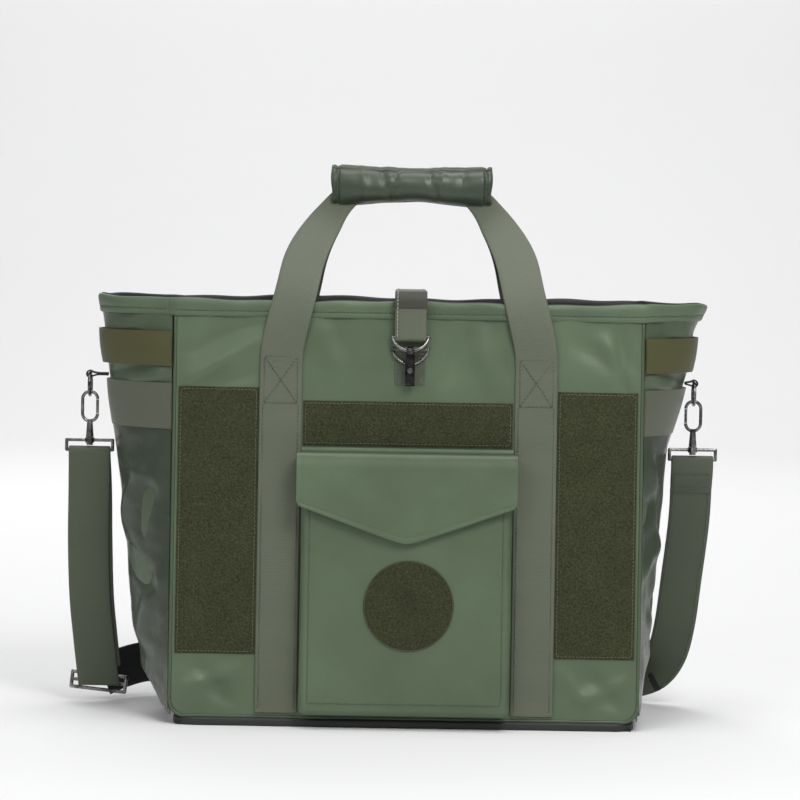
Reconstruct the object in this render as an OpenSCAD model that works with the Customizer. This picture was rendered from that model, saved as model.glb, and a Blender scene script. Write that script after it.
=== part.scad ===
// Flight bag: an open-topped tote with two webbing handles, a snap-hook closure strap,
// a flapped front pocket, side slip pockets and a clip-on shoulder strap.
// Origin: centre of the base's resting face. +X to the right, -Y to the front, +Z up.

/* [Bag] */
// Width of the front and back panels, side seam to side seam
panel_w = 417; // [380:1:440]
// Height of the bag, floor to rim
bag_h = 380; // [370:1:390]
// Depth of the bag at its base
base_depth = 170; // [160:1:180]
// Depth of the mouth between the front and back rims
rim_depth = 120; // [114:1:130]
// Height of the folded hem round the rim
hem_h = 14; // [10:1:16]

/* [Webbing] */
// Width of the handle and shoulder strap webbing
web_w = 38; // [34:1:40]
// Thickness of the handle and shoulder strap webbing
web_t = 2; // [1.5:0.1:2.2]
// Distance of each handle leg from the middle of the bag
leg_x = 114; // [112:1:117]
// Height at which the handle legs stop being sewn down
sewn_h = 331; // [320:1:340]

/* [Grip] */
// Length of the padded handle wrap
wrap_l = 148; // [136:1:152]
// Outer radius of the padded handle wrap
wrap_r = 18.5; // [17:0.5:19]
// Length of the opening at each end of the wrap, where a handle leg leaves it
relief_l = 43; // [42:1:46]
// Height of the middle of the grip above the floor
grip_h = 482; // [480:1:486]

/* [Front pocket] */
// Width of the front pocket
pocket_w = 187; // [176:1:188]
// How far the front pocket stands out from the panel
pocket_d = 20; // [16:1:22]
// Height of the pocket's bottom edge above the floor
pocket_low = 12; // [12:1:18]
// Height of the pocket's fold above the floor
pocket_high = 243; // [238:1:244]
// Length of the pocket flap at its point
flap_l = 79; // [70:1:84]
// Length of the pocket flap at its sides
flap_side = 44; // [38:1:50]

/* [Loop panels] */
// Radius of the round loop patch on the pocket
patch_r = 40; // [32:1:42]
// Width of the wide loop panel above the pocket
bar_w = 187; // [170:1:188]

/* [Hardware] */
// Middle radius of the rings that the shoulder strap clips to
ring_r = 10; // [10:0.5:11]
// Radius of the wire that the rings and snap hooks are bent from
wire_r = 1.5; // [1.3:0.1:1.6]
// Height of the centres of those rings
ring_h = 298; // [296:1:300]
// Width of the closure strap
closure_w = 28; // [24:1:28]

/* [Hidden] */
$fn = 32;
seam_x = panel_w / 2;
lean = atan((base_depth - rim_depth) / 2 / bag_h);
hem_z = bag_h - hem_h;
relief_top = 5;          // top of the wrap's end openings above its middle
seam_gap = 3.6;          // from the piped seam to the edge of a gusset cloth
gap = 0.4;               // clearance between layers of cloth
gusset_low = 9;          // lower edge of the gussets and their lining
slip_low = 14;           // lower edge of the side slip pockets
slip_hem_low = 264;      // webbing hem of the slip pockets
slip_hem_high = 304;
side_band_low = 319;     // elastic band above each slip pocket
side_band_high = 350;
bar_low = 251;           // wide loop panel above the front pocket
bar_high = 291;
strips_low = 205;        // fastener strips under the flap
patch_x = 3;             // middle of the round loop patch
patch_v = 110;
binding_h = 8.4;         // height of the bound edge round the base

// Height and bulge of each gusset's middle beyond the side seams. The left side is the fuller one.
bulge_left = [[0, 4], [12, 12], [42, 28], [95, 40], [148, 46], [220, 53], [290, 62.5], [340, 68.5],
    [380, 73]];
bulge_right = [[0, 3], [20, 7], [60, 12], [120, 17], [200, 23], [250, 27], [300, 41], [320, 46],
    [355, 51], [380, 61]];

cloth_green = "#5b7359";
cloth_dark = "#46583f";
web_green = "#6d7863";
loop_green = "#484c2e";
band_green = "#55552c";
liner_black = "#1c1e1c";
steel = "#4a4c4e";

// Handle side profile: a leaning leg, then a bend that stands the grip upright.
fold_y = rim_depth / 2 + 6.6;     // fold line of each handle, outside the rim
fold_z = bag_h + 4;
fold_x = leg_x - 9;               // the legs lean in between the stitching and the fold
grip_y = 5;                       // middle of each grip's webbing from the bag's middle plane
leg_lean = 42;
bend_r = 30;
leg_l = (fold_y - grip_y - bend_r * (1 - cos(leg_lean))) / sin(leg_lean);
bend_l = bend_r * leg_lean * PI / 180;
bend_top = fold_z + leg_l * cos(leg_lean) + bend_r * sin(leg_lean);
grip_q = leg_l + bend_l + grip_h - bend_top;
grip_web = 28;                    // width of the webbing where it is folded in the grip

// Closure strap
closure_x = 1;
mouth_z = bag_h + 6;              // height of the closure strap over the mouth
back_fold_y = rim_depth / 2 + 6;
front_fold_y = -rim_depth / 2 - 6;
eye_z = 348;
eye_r = 16;
eye_wire = 1.6;
eye_drop = 13;
eye_tilt = 26;                    // the eye leans out over the ring that lies behind it
eye_y = front_fold_y - 1.5;
hook_y = eye_y - eye_drop * sin(eye_tilt);
hook_z = eye_z - eye_drop * cos(eye_tilt);
tab_top = 338;
tab_low = 305;

// Shoulder strap. The route's points lie from the left eye, behind the bag, to the right eye.
hook_top = ring_h - ring_r + 2 * wire_r + 0.3;
hook_half = 7;
hook_len = 27;
swivel_z = hook_top - hook_len - wire_r;
strap_eye_z = 247;
eye_half = 21;
ring_out = eye_half + wire_r + 2.6;    // keeps the strap eye clear of the side pocket
ring_x_left = -seam_x - lookup(strap_eye_z, bulge_left) - ring_out;
ring_x_right = seam_x + lookup(strap_eye_z, bulge_right) + ring_out;
loop_route = [
    [ring_x_left, 0, 240], [ring_x_left - 1, 10, 200], [ring_x_left - 2, 20, 150],
    [ring_x_left - 1, 29, 100], [ring_x_left + 2, 37, 62], [ring_x_left + 5, 42, 32]
];
strap_route = [
    [-280, 60, 22], [-265, 76, 27], [-243, 92, 31], [-216, 102, 29], [-184, 107, 24],
    [-140, 108.5, 20.5], [-70, 109, 20], [0, 109, 20], [70, 109, 20], [140, 108, 20],
    [188, 104, 20.5], [214, 94, 22], [234, 80, 31], [246, 66, 50], [252, 53, 80],
    [256, 40, 124], [ring_x_right, 22, 180], [ring_x_right, 6, 222], [ring_x_right, 0, 240]
];

// ---------- general shapes ----------

function unit(v) = v / norm(v);

// Half the bag's depth at height z.
function half_depth(z) = (base_depth - (base_depth - rim_depth) * z / bag_h) / 2;

// A point on a gusset: side is -1 or 1, t runs from -1 at the front seam to 1 at the back seam,
// and out is the distance outside the cloth's face.
function gusset_point(side, z, t, out) =
    let (
        d = half_depth(z),
        b = lookup(z, side < 0 ? bulge_left : bulge_right),
        n = unit([1, 2 * b * t / d])
    ) [side * (seam_x + b * (1 - t * t) + out * n[0]), t * d + out * n[1], z];

// Triangles of a closed sheet between two grids of points with the same rows and columns.
function sheet_faces(rows, cols) =
    let (last = rows * cols)
    concat(
        [for (i = [0 : rows - 2], j = [0 : cols - 2]) let (a = i * cols + j)
            each [[a, a + cols, a + 1], [a + 1, a + cols, a + cols + 1],
                [last + a, last + a + 1, last + a + cols],
                [last + a + 1, last + a + cols + 1, last + a + cols]]],
        [for (j = [0 : cols - 2]) let (a = j, b = (rows - 1) * cols + j)
            each [[a, a + 1, last + a], [a + 1, last + a + 1, last + a],
                [b, last + b, b + 1], [b + 1, last + b, last + b + 1]]],
        [for (i = [0 : rows - 2]) let (a = i * cols, b = i * cols + cols - 1)
            each [[a, last + a, a + cols], [a + cols, last + a, last + a + cols],
                [b, b + cols, last + b], [b + cols, last + b + cols, last + b]]]
    );

// The solid between two grids of points. The grids turn the other way round when flip is true.
module sheet(upper, lower, flip = false) {
    rows = len(upper);
    cols = len(upper[0]);
    points = concat([for (r = upper) each r], [for (r = lower) each r]);
    faces = sheet_faces(rows, cols);
    polyhedron(points, flip ? [for (f = faces) [f[2], f[1], f[0]]] : faces);
}

// The heights of a gusset's rows of points. All its layers share them, so that they stay apart.
function levels(side) = let (b = side < 0 ? bulge_left : bulge_right)
    [for (i = [0 : len(b) - 2], k = [0 : 3]) b[i][0] + (b[i + 1][0] - b[i][0]) * k / 4];

// A curved piece of cloth on one gusset, between two heights and two offsets.
module gusset_sheet(side, z0, z1, out0, out1, cols = 12) {
    rows = concat([z0], [for (z = levels(side)) if (z > z0 + 1 && z < z1 - 1) z], [z1]);
    function grid(out) = [for (z = rows) let (edge = 1 - seam_gap / half_depth(z))
        [for (j = [0 : cols]) gusset_point(side, z, edge * (2 * j / cols - 1), out)]];
    sheet(grid(out1), grid(out0), side < 0);
}

// Flat webbing along a route. The width of each section lies across the route and the Y axis.
module route_ribbon(route, w, t) {
    last = len(route) - 1;
    function along(i) = unit(route[min(i + 1, last)] - route[max(i - 1, 0)]);
    function across(i) = unit(cross(along(i), [0, 1, 0]));
    function row(i, lift) = let (n = cross(along(i), across(i)))
        [for (s = [-1, 1]) route[i] + s * w / 2 * across(i) + lift * n];
    sheet([for (i = [0 : last]) row(i, t / 2)], [for (i = [0 : last]) row(i, -t / 2)], true);
}

// A route moved to the right by x and towards the back by y.
function shifted(route, x, y) = [for (p = route) p + [x, y, 0]];

// Points of a smooth curve through a route, with n steps between two points.
function smooth(route, n) = let (last = len(route) - 1)
    concat([for (i = [0 : last - 1], k = [0 : n - 1]) let (
            a = route[max(i - 1, 0)], b = route[i], c = route[i + 1],
            d = route[min(i + 2, last)], u = k / n
        ) 0.5 * (2 * b + (c - a) * u + (2 * a - 5 * b + 4 * c - d) * u * u
            + (3 * b - a - 3 * c + d) * u * u * u)], [route[last]]);

// Places children drawn flat (x right, y up, z outward) on the front panel's outer face.
module on_front() {
    translate([0, -base_depth / 2, 0]) rotate([90 - lean, 0, 0]) children();
}

module on_back() {
    mirror([0, 1, 0]) on_front() children();
}

// A flat slab on the panel, between two widths, heights and depths.
module patch(x0, x1, v0, v1, w0, w1) {
    translate([x0, v0, w0]) cube([x1 - x0, v1 - v0, w1 - w0]);
}

// A part of a ring of wire about Z, from angle a over sweep degrees.
module wire_arc(radius, r, a, sweep) {
    rotate([0, 0, a]) rotate_extrude(angle = sweep) translate([radius, 0]) circle(r);
}

module ring(radius, r) {
    rotate_extrude($fn = 48) translate([radius, 0]) circle(r);
}

// ---------- body of the bag ----------

piping_v = 11;
corner_r = 12;           // round of a panel's lower corners

// The outline of a front or back panel, square at the rim and rounded at the base.
module panel_outline(half_w, v0, v1, r) {
    translate([-half_w, v0 + r]) square([2 * half_w, v1 - v0 - r]);
    translate([-half_w + r, v0]) square([2 * (half_w - r), r]);
    for (s = [-1, 1]) translate([s * (half_w - r), v0 + r]) circle(r);
}

module panel_cloth() {
    translate([0, 0, -1.2]) linear_extrude(1.2)
        panel_outline(seam_x - 1.2, piping_v + 2, hem_z, corner_r - 1);
}

module front_panel() {
    color(cloth_green) on_front() panel_cloth();
}

module back_panel() {
    color(cloth_green) on_back() panel_cloth();
}

module foam_slab() {
    translate([0, 0, -4.2]) linear_extrude(2.8)
        panel_outline(seam_x - 4, piping_v + 3, hem_z - 1, corner_r - 2);
}

module panel_foam() {
    color("#d8d4c8") {
        on_front() foam_slab();
        on_back() foam_slab();
    }
}

module gusset_left() {
    color(cloth_green) gusset_sheet(-1, gusset_low, hem_z, -1.6, 0);
}

module gusset_right() {
    color(cloth_green) gusset_sheet(1, gusset_low, hem_z, -1.6, 0);
}

module base_panel() {
    color(cloth_dark) translate([-seam_x + 1, -base_depth / 2 + 1, 0])
        cube([panel_w - 2, base_depth - 2, 1.6]);
}

// The bound edge that runs round the base and meets the floor.
module base_binding() {
    outer_x = seam_x + 2.6;
    outer_y = base_depth / 2 + 2;
    wall = 2.4;
    color(liner_black) linear_extrude(binding_h) difference() {
        square([2 * outer_x, 2 * outer_y], center = true);
        square(2 * [outer_x - wall, outer_y - wall], center = true);
    }
}

module base_board() {
    color("#2a2a2a") translate([-seam_x + 5, -base_depth / 2 + 6, 2])
        cube([panel_w - 10, base_depth - 12, 2.4]);
}

lining_in = 5.8;         // the lining's inner face behind the panel's outer face

module lining_slab() {
    patch(-seam_x + 6, seam_x - 6, 8, hem_z - 1, -lining_in, -lining_in + 0.8);
}

module lining() {
    floor_y = base_depth / 2 - 8;
    color(liner_black) {
        on_front() lining_slab();
        on_back() lining_slab();
        for (side = [-1, 1]) gusset_sheet(side, gusset_low, hem_z - 1, -4.4, -3.6);
        translate([-seam_x + 6, -floor_y, 4.8]) cube([panel_w - 12, 2 * floor_y, 0.8]);
    }
}

// The padded sleeve stands in front of the back lining and is open at its top.
sleeve_room = 26;
sleeve_h = 270;

module laptop_sleeve() {
    half = 190;
    front = -lining_in - sleeve_room;
    color(liner_black) on_back() {
        patch(-half, half, 10, sleeve_h, front - 6, front);
        for (s = [-1, 1])
            patch(s * half - 0.8, s * half + 0.8, 10, sleeve_h, front + 0.2, -lining_in - gap);
    }
}

// A closed ring of points round the bag at height z.
function rim_loop(z, out, cols = 12) = let (
        d = half_depth(z) + out, edge = 1 - seam_gap / half_depth(z)
    ) concat(
        [[-seam_x + 4, -d, z], [seam_x - 4, -d, z]],
        [for (j = [0 : cols]) gusset_point(1, z, edge * (2 * j / cols - 1), out)],
        [[seam_x - 4, d, z], [-seam_x + 4, d, z]],
        [for (j = [0 : cols]) gusset_point(-1, z, edge * (1 - 2 * j / cols), out)]
    );

// A closed band round the bag: four rings of points, joined side by side.
module rim_band(z0, z1, out0, out1) {
    rings = [rim_loop(z0, out1), rim_loop(z1, out1), rim_loop(z1, out0), rim_loop(z0, out0)];
    n = len(rings[0]);
    faces = [for (k = [0 : 3], i = [0 : n - 1]) let (
            a = k * n + i, b = k * n + (i + 1) % n,
            c = ((k + 1) % 4) * n + i, e = ((k + 1) % 4) * n + (i + 1) % n
        ) each [[a, c, b], [b, c, e]]];
    polyhedron([for (r = rings) each r], faces);
}

module top_hem() {
    color(cloth_green) rim_band(hem_z + 0.2, bag_h, -3.4, 1.6);
}

// Cord in a fold of cloth, down one side of a panel, along its bottom and up the other.
module piping() {
    half = seam_x + 0.4;
    r = 1.8;
    translate([0, 0, -1.6]) {
        for (s = [-1, 1]) {
            translate([s * half, piping_v + corner_r, 0]) rotate([-90, 0, 0])
                cylinder(r = r, h = hem_z - piping_v - corner_r - 0.4);
            translate([s * (half - corner_r), piping_v + corner_r, 0])
                wire_arc(corner_r, r, s > 0 ? 270 : 180, 90);
        }
        translate([corner_r - half, piping_v, 0]) rotate([0, 90, 0])
            cylinder(r = r, h = 2 * (half - corner_r));
    }
}

module piping_front() {
    color(liner_black) on_front() piping();
}

module piping_back() {
    color(liner_black) on_back() piping();
}

// ---------- loop panels, sewn webbing and the front pocket ----------

loop_low = 64;
loop_high = 302;
loop_in = leg_x + web_w / 2 + gap;

module loop_panel_left() {
    color(loop_green) on_front()
        patch(-seam_x + 3, -loop_in, loop_low, loop_high, 0.1, 1.7);
}

module loop_panel_right() {
    color(loop_green) on_front() patch(loop_in, seam_x - 3, loop_low, loop_high, 0.1, 1.7);
}

module loop_panel_center() {
    color(loop_green) on_front() patch(-bar_w / 2, bar_w / 2, bar_low, bar_high, 0.1, 1.7);
}

// Webbing sewn up the panel, then lying free over the hem as far as the handle's fold.
module sewn_strap(side) {
    half = web_w / 2;
    low = sewn_h + 0.3;
    top = fold_z - 2.4;
    translate([side * leg_x - half, 14, 0.1]) cube([web_w, sewn_h - 14, web_t]);
    translate([0, 0, 2.4]) linear_extrude(web_t)
        polygon([[side * leg_x - half, low], [side * leg_x + half, low],
            [side * fold_x + half, top], [side * fold_x - half, top]]);
}

module strap_front_left() {
    color(web_green) on_front() sewn_strap(-1);
}

module strap_front_right() {
    color(web_green) on_front() sewn_strap(1);
}

module strap_back_left() {
    color(web_green) on_back() sewn_strap(-1);
}

module strap_back_right() {
    color(web_green) on_back() sewn_strap(1);
}

module pocket_front() {
    color(cloth_green) on_front() patch(-pocket_w / 2, pocket_w / 2, pocket_low,
        pocket_high - 8, pocket_d - 1.4, pocket_d);
}

// The bellows: two side walls and a floor between the panel and the pocket's face.
module pocket_gusset() {
    wall = 1.4;
    reach = pocket_d - 1.7;
    half = pocket_w / 2 - 1;
    color(cloth_dark) on_front() {
        for (s = [-1, 1]) patch(min(s * half, s * (half - wall)), max(s * half, s * (half - wall)),
            pocket_low + 2, pocket_high - 9, 0.1, reach);
        patch(-half + wall, half - wall, pocket_low + 2, pocket_low + 2 + wall, 0.1, reach);
    }
}

// The flap's sewn edge and its roof over the pocket, as far as the fold.
module pocket_fold() {
    half = pocket_w / 2 + 4;
    sewn_half = leg_x - web_w / 2 - gap;
    color(cloth_green) on_front() {
        patch(-half, half, pocket_high - 1.4, pocket_high, web_t + gap, pocket_d + 1.4);
        patch(-sewn_half, sewn_half, pocket_high - 1.4, pocket_high + 5, 0.1, web_t + gap);
    }
}

flap_back = pocket_d + 2.6;

module pocket_flap() {
    half = pocket_w / 2 + 4.5;
    top = pocket_high - 2.2;
    color(cloth_green) on_front() translate([0, 0, flap_back]) linear_extrude(2)
        polygon([[-half, top], [half, top], [half, pocket_high - flap_side],
            [0, pocket_high - flap_l], [-half, pocket_high - flap_side]]);
}

module pocket_strips(w0, w1) {
    for (x = [-62, 22]) patch(x, x + 40, strips_low, strips_low + 20, w0, w1);
}

module pocket_loop_strips() {
    color(loop_green) on_front() pocket_strips(pocket_d + 0.1, pocket_d + 1.1);
}

module pocket_hook_strips() {
    color(loop_green) on_front() pocket_strips(flap_back - 1.1, flap_back - 0.1);
}

module loop_patch_round() {
    color(loop_green) on_front() translate([patch_x, patch_v, pocket_d + 0.1])
        cylinder(r = patch_r, h = 1.6, $fn = 64);
}

// ---------- sides ----------

module side_band_left() {
    color(band_green) gusset_sheet(-1, side_band_low, side_band_high, gap, 2.4);
}

module side_band_right() {
    color(band_green) gusset_sheet(1, side_band_low, side_band_high, gap, 2.4);
}

module side_pocket_left() {
    color(cloth_green) gusset_sheet(-1, slip_low, slip_hem_low - 0.3, gap, 1.8);
}

module side_pocket_right() {
    color(cloth_green) gusset_sheet(1, slip_low, slip_hem_low - 0.3, gap, 1.8);
}

module side_hem_left() {
    color(web_green) gusset_sheet(-1, slip_hem_low, slip_hem_high, gap, 2.8);
}

module side_hem_right() {
    color(web_green) gusset_sheet(1, slip_hem_low, slip_hem_high, gap, 2.8);
}

// A webbing tab sewn to the gusset and folded round the top of a side ring.
tab_r = 4.4;
tab_bore = 2.9;

module ring_tab(side, x) {
    top = ring_h + ring_r - 0.4;
    wall = gusset_point(side, top, 0, 1)[0];
    color(liner_black) {
        translate([x, 4, top]) rotate([90, 0, 0]) difference() {
            cylinder(r = tab_r, h = 8);
            translate([0, 0, -1]) cylinder(r = tab_bore, h = 10);
        }
        translate([min(wall, x - side * (tab_r - 0.6)), -4, top - 1.2])
            cube([abs(x - wall) - tab_r + 0.6, 8, 2.4]);
    }
}

module ring_tab_left() {
    ring_tab(-1, ring_x_left);
}

module ring_tab_right() {
    ring_tab(1, ring_x_right);
}

module side_ring(x) {
    color(steel) translate([x, 0, ring_h]) rotate([0, 90, 0]) ring(ring_r, wire_r);
}

module side_ring_left() {
    side_ring(ring_x_left);
}

module side_ring_right() {
    side_ring(ring_x_right);
}

// ---------- handles ----------

// A point of a handle: u across, q along its side profile from the fold, w towards the front.
function handle_point(u, q, w) =
    let (
        a = q < leg_l ? leg_lean : max(leg_lean - (q - leg_l) / bend_r * 180 / PI, 0),
        leg = min(q, leg_l),
        rest = max(q - leg_l - bend_l, 0),
        y = leg * sin(leg_lean) + bend_r * (cos(a) - cos(leg_lean)),
        z = leg * cos(leg_lean) + bend_r * (sin(leg_lean) - sin(a)) + rest
    ) [u, y - fold_y - w * cos(a), fold_z + z + w * sin(a)];

// Half a handle's middle line, from the fold to the middle of the grip: across, along, width.
half_handle = [
    [-fold_x + 1, 5, web_w], [-fold_x + 5, 24, web_w], [-fold_x + 10, 46, web_w],
    [-fold_x + 17, 67, 36], [-fold_x + 26, 85, 32], [-70, 99, 26],
    [-58, grip_q - 7, 23], [-44, grip_q - 1, 24], [-22, grip_q, grip_web],
    [0, grip_q, grip_web]
];
half_line = smooth(half_handle, 2);
handle_line = concat(half_line,
    [for (i = [len(half_line) - 2 : -1 : 0]) [-half_line[i][0], half_line[i][1], half_line[i][2]]]);

module handle_web() {
    last = len(handle_line) - 1;
    function flat(i) = [handle_line[i][0], handle_line[i][1]];
    function row(i, w) = let (
            a = unit(flat(min(i + 1, last)) - flat(max(i - 1, 0))),
            h = handle_line[i][2] / 2
        ) [for (s = [-1, 0, 1])
            handle_point(flat(i)[0] - s * h * a[1], flat(i)[1] + s * h * a[0], w)];
    half_t = web_t / 2;
    sheet([for (i = [0 : last]) row(i, half_t)], [for (i = [0 : last]) row(i, -half_t)], true);
}

module handle_front() {
    color(web_green) handle_web();
}

module handle_back() {
    color(web_green) mirror([0, 1, 0]) handle_web();
}

// Half of the padded wrap: its front half holds the front grip, its back half is the flap.
module wrap_half(r_in, r_out) {
    ends = wrap_l / 2 - relief_l;
    translate([0, -0.3, grip_h]) rotate([90, 0, 90]) difference() {
        translate([0, 0, -wrap_l / 2]) linear_extrude(wrap_l) difference() {
            circle(r_out, $fn = 64);
            circle(r_in, $fn = 64);
            translate([0, -r_out - 1]) square(2 * r_out + 2);
        }
        for (low = [-wrap_l / 2 - 1, ends]) translate([-r_out - 1, -r_out - 1, low])
            cube([r_out + 2, r_out + 1 + relief_top, relief_l + 1]);
    }
}

module handle_wrap() {
    color(cloth_green) wrap_half(wrap_r - 2.5, wrap_r);
}

module handle_wrap_flap() {
    color(cloth_green) mirror([0, 1, 0]) wrap_half(wrap_r - 2.5, wrap_r);
}

// ---------- closure ----------

module closure_anchor() {
    low = 318;
    color(web_green) on_back() {
        patch(closure_x - closure_w / 2, closure_x + closure_w / 2, low, hem_z - 2, 0.1, 1.9);
        patch(closure_x - closure_w / 2, closure_x + closure_w / 2, hem_z - 1.7, bag_h + 1,
            2.2, 4);
    }
}

module closure_strap() {
    color(web_green) translate([closure_x - closure_w / 2, front_fold_y + 2.4, mouth_z - 1])
        cube([closure_w, back_fold_y - front_fold_y - 4.4, 2]);
}

module closure_strap_end() {
    color(web_green) translate([closure_x - closure_w / 2, front_fold_y - 1, eye_z + 2.4])
        cube([closure_w, 2, mouth_z - eye_z - 4.4]);
}

// A D-shaped wire, its straight bar across the top and its arc hanging drop below it.
module d_wire(half, drop, r) {
    radius = (half * half + drop * drop) / (2 * drop);
    reach = asin(half / radius);
    translate([-half, 0, 0]) rotate([0, 90, 0]) cylinder(r = r, h = 2 * half);
    rotate([90, 0, 0]) translate([0, radius - drop, 0]) wire_arc(radius, r, 270 - reach, 2 * reach);
    for (s = [-1, 1]) translate([s * half, 0, 0]) sphere(1.2 * r);
}

boss_h = 5;
boss_bore = 1.35;

// The eye that the closure strap is folded round, with the boss that its hook turns in.
module closure_eye() {
    color(steel) difference() {
        union() {
            translate([closure_x, eye_y, eye_z]) rotate([-eye_tilt, 0, 0])
                d_wire(eye_r, eye_drop, eye_wire);
            translate([closure_x, hook_y, hook_z - boss_h / 2]) cylinder(r = 3.6, h = boss_h);
        }
        translate([closure_x, hook_y, hook_z - boss_h]) cylinder(r = boss_bore, h = 2 * boss_h);
    }
}

hook_w = 8.4;
hook_t = 4.4;
shank_top = hook_z - boss_h / 2 - 0.3;

// The trigger hook: a swivel pin with its head, a flat shank and a rounded nose.
module closure_hook() {
    shank_low = tab_low + hook_t / 2;
    color("#202224") translate([closure_x, hook_y, 0]) {
        translate([0, 0, hook_z + boss_h / 2 + 0.3]) cylinder(r = 2.6, h = 1.6);
        translate([0, 0, shank_top - 1]) cylinder(r = boss_bore - 0.05, h = boss_h + 2);
        translate([0, 0, shank_top - 3]) cylinder(r = 3.6, h = 3);
        translate([-hook_w / 2, -hook_t / 2, shank_low])
            cube([hook_w, hook_t, shank_top - 2 - shank_low]);
        translate([-hook_w / 2, 0, shank_low]) rotate([0, 90, 0])
            cylinder(r = hook_t / 2, h = hook_w);
    }
}

// The thumb stud that draws the hook's bolt down the shank.
module closure_trigger() {
    color(steel) translate([closure_x, hook_y - hook_t / 2 - 0.2, tab_low + 14])
        rotate([90, 0, 0]) {
            cylinder(r = 1.4, h = 1.4);
            translate([0, 0, 1]) cylinder(r = 2.6, h = 1.2);
        }
}

ring_wire = 1.3;
ring_bar_w = 2.9;

// The sewn tab, folded round the bar of its ring.
module closure_tab() {
    fold_r = 2.7;
    color(web_green) on_front() {
        patch(closure_x - closure_w / 2, closure_x + closure_w / 2, tab_low, tab_top - 2,
            0.1, 1.1);
        translate([closure_x - 12, tab_top, ring_bar_w]) rotate([0, 90, 0]) difference() {
            cylinder(r = fold_r, h = 24);
            translate([0, 0, -1]) cylinder(r = ring_wire + 0.1, h = 26);
        }
    }
}

module closure_ring() {
    color(steel) on_front() translate([closure_x, tab_top, ring_bar_w])
        rotate([-90, 0, 0]) d_wire(eye_r, eye_drop, ring_wire);
}

// ---------- shoulder strap ----------

module shoulder_strap() {
    color(web_green) {
        route_ribbon(smooth(strap_route, 2), web_w, web_t);
        route_ribbon(shifted([for (i = [16 : 18]) strap_route[i]], 0, -web_t - gap),
            web_w, web_t);
    }
}

module shoulder_strap_loop() {
    color(web_green) {
        route_ribbon(smooth(loop_route, 2), web_w, web_t);
        route_ribbon(smooth(shifted(loop_route, 3, web_t + gap), 2), web_w, web_t);
    }
}

// A three-bar slide: an oblong frame with a bar across its middle.
module strap_slider() {
    half = 25;
    tall = 7;
    r = 1.7;
    color(steel) translate([ring_x_left + 6.5, 46, 18]) rotate([0, 6, 0]) {
        for (z = [-tall, 0, tall]) translate([-half, 0, z]) rotate([0, 90, 0])
            cylinder(r = r, h = 2 * half);
        for (s = [-1, 1]) {
            translate([s * half, 0, -tall]) cylinder(r = r, h = 2 * tall);
            for (z = [-tall, tall]) translate([s * half, 0, z]) sphere(r);
        }
    }
}

// A rectangular wire eye with the swivel's collar in the middle of its top bar.
module strap_eye(x) {
    drop = 9;
    color(steel) translate([x, 0, strap_eye_z]) {
        for (s = [-1, 1]) {
            translate([s * eye_half, 0, -drop]) cylinder(r = wire_r, h = drop);
            for (z = [-drop, 0]) translate([s * eye_half, 0, z]) sphere(wire_r);
        }
        translate([-eye_half, 0, -drop]) rotate([0, 90, 0]) cylinder(r = wire_r, h = 2 * eye_half);
        difference() {
            union() {
                translate([-eye_half, 0, 0]) rotate([0, 90, 0])
                    cylinder(r = wire_r, h = 2 * eye_half);
                translate([0, 0, -2.4]) cylinder(r = 4.2, h = 4.8);
            }
            translate([0, 0, -4]) cylinder(r = swivel_bore, h = 9);
        }
    }
}

swivel_bore = 1.85;
swivel_pin = 1.8;

module strap_eye_left() {
    strap_eye(ring_x_left);
}

module strap_eye_right() {
    strap_eye(ring_x_right);
}

// An oval snap hook with its swivel pin. The gate fills the side towards the bag.
module snap_hook(x, side) {
    bend = hook_half - 0.2;
    top = hook_top - bend;
    low = hook_top - hook_len + bend;
    color(steel) translate([x, 0, 0]) {
        translate([0, 0, top]) rotate([90, 0, 0]) wire_arc(bend, wire_r, 0, 180);
        translate([0, 0, low]) rotate([90, 0, 0]) wire_arc(bend, wire_r, 180, 180);
        translate([side * bend, 0, low]) cylinder(r = wire_r, h = top - low);
        translate([0, 0, strap_eye_z + 2.8])
            cylinder(r1 = 3.6, r2 = 2.4, h = swivel_z - strap_eye_z + 0.4);
        translate([0, 0, strap_eye_z - 3]) cylinder(r = swivel_pin, h = 8);
        translate([0, 0, strap_eye_z - 4.6]) cylinder(r = 3, h = 1.8);
    }
}

module snap_gate(x, side) {
    bend = hook_half - 0.2;
    top = hook_top - bend;
    low = hook_top - hook_len + bend;
    color(steel) translate([x - side * bend, 0, low + 0.4])
        cylinder(r = wire_r - 0.2, h = top - low - 0.8);
}

module snap_hook_left() {
    snap_hook(ring_x_left, -1);
}

module snap_hook_right() {
    snap_hook(ring_x_right, 1);
}

module snap_gate_left() {
    snap_gate(ring_x_left, -1);
}

module snap_gate_right() {
    snap_gate(ring_x_right, 1);
}

front_panel();
back_panel();
panel_foam();
gusset_left();
gusset_right();
base_panel();
base_binding();
base_board();
lining();
laptop_sleeve();
top_hem();
piping_front();
piping_back();
loop_panel_left();
loop_panel_right();
loop_panel_center();
loop_patch_round();
pocket_front();
pocket_gusset();
pocket_fold();
pocket_loop_strips();
strap_front_left();
strap_front_right();
strap_back_left();
strap_back_right();
side_band_left();
side_band_right();
side_pocket_left();
side_pocket_right();
side_hem_left();
side_hem_right();
ring_tab_left();
ring_tab_right();
side_ring_left();
side_ring_right();
closure_tab();
closure_anchor();
handle_front();
handle_wrap();
handle_wrap_flap();
handle_back();
pocket_flap();
pocket_hook_strips();
closure_strap();
closure_strap_end();
closure_eye();
closure_hook();
closure_trigger();
closure_ring();
shoulder_strap();
shoulder_strap_loop();
strap_slider();
strap_eye_left();
strap_eye_right();
snap_hook_left();
snap_hook_right();
snap_gate_left();
snap_gate_right();
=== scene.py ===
"""The looks of the flight bag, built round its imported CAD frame. All lengths are in metres."""
import math
import bpy
import numpy as np
from mathutils import Matrix, Vector


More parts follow.
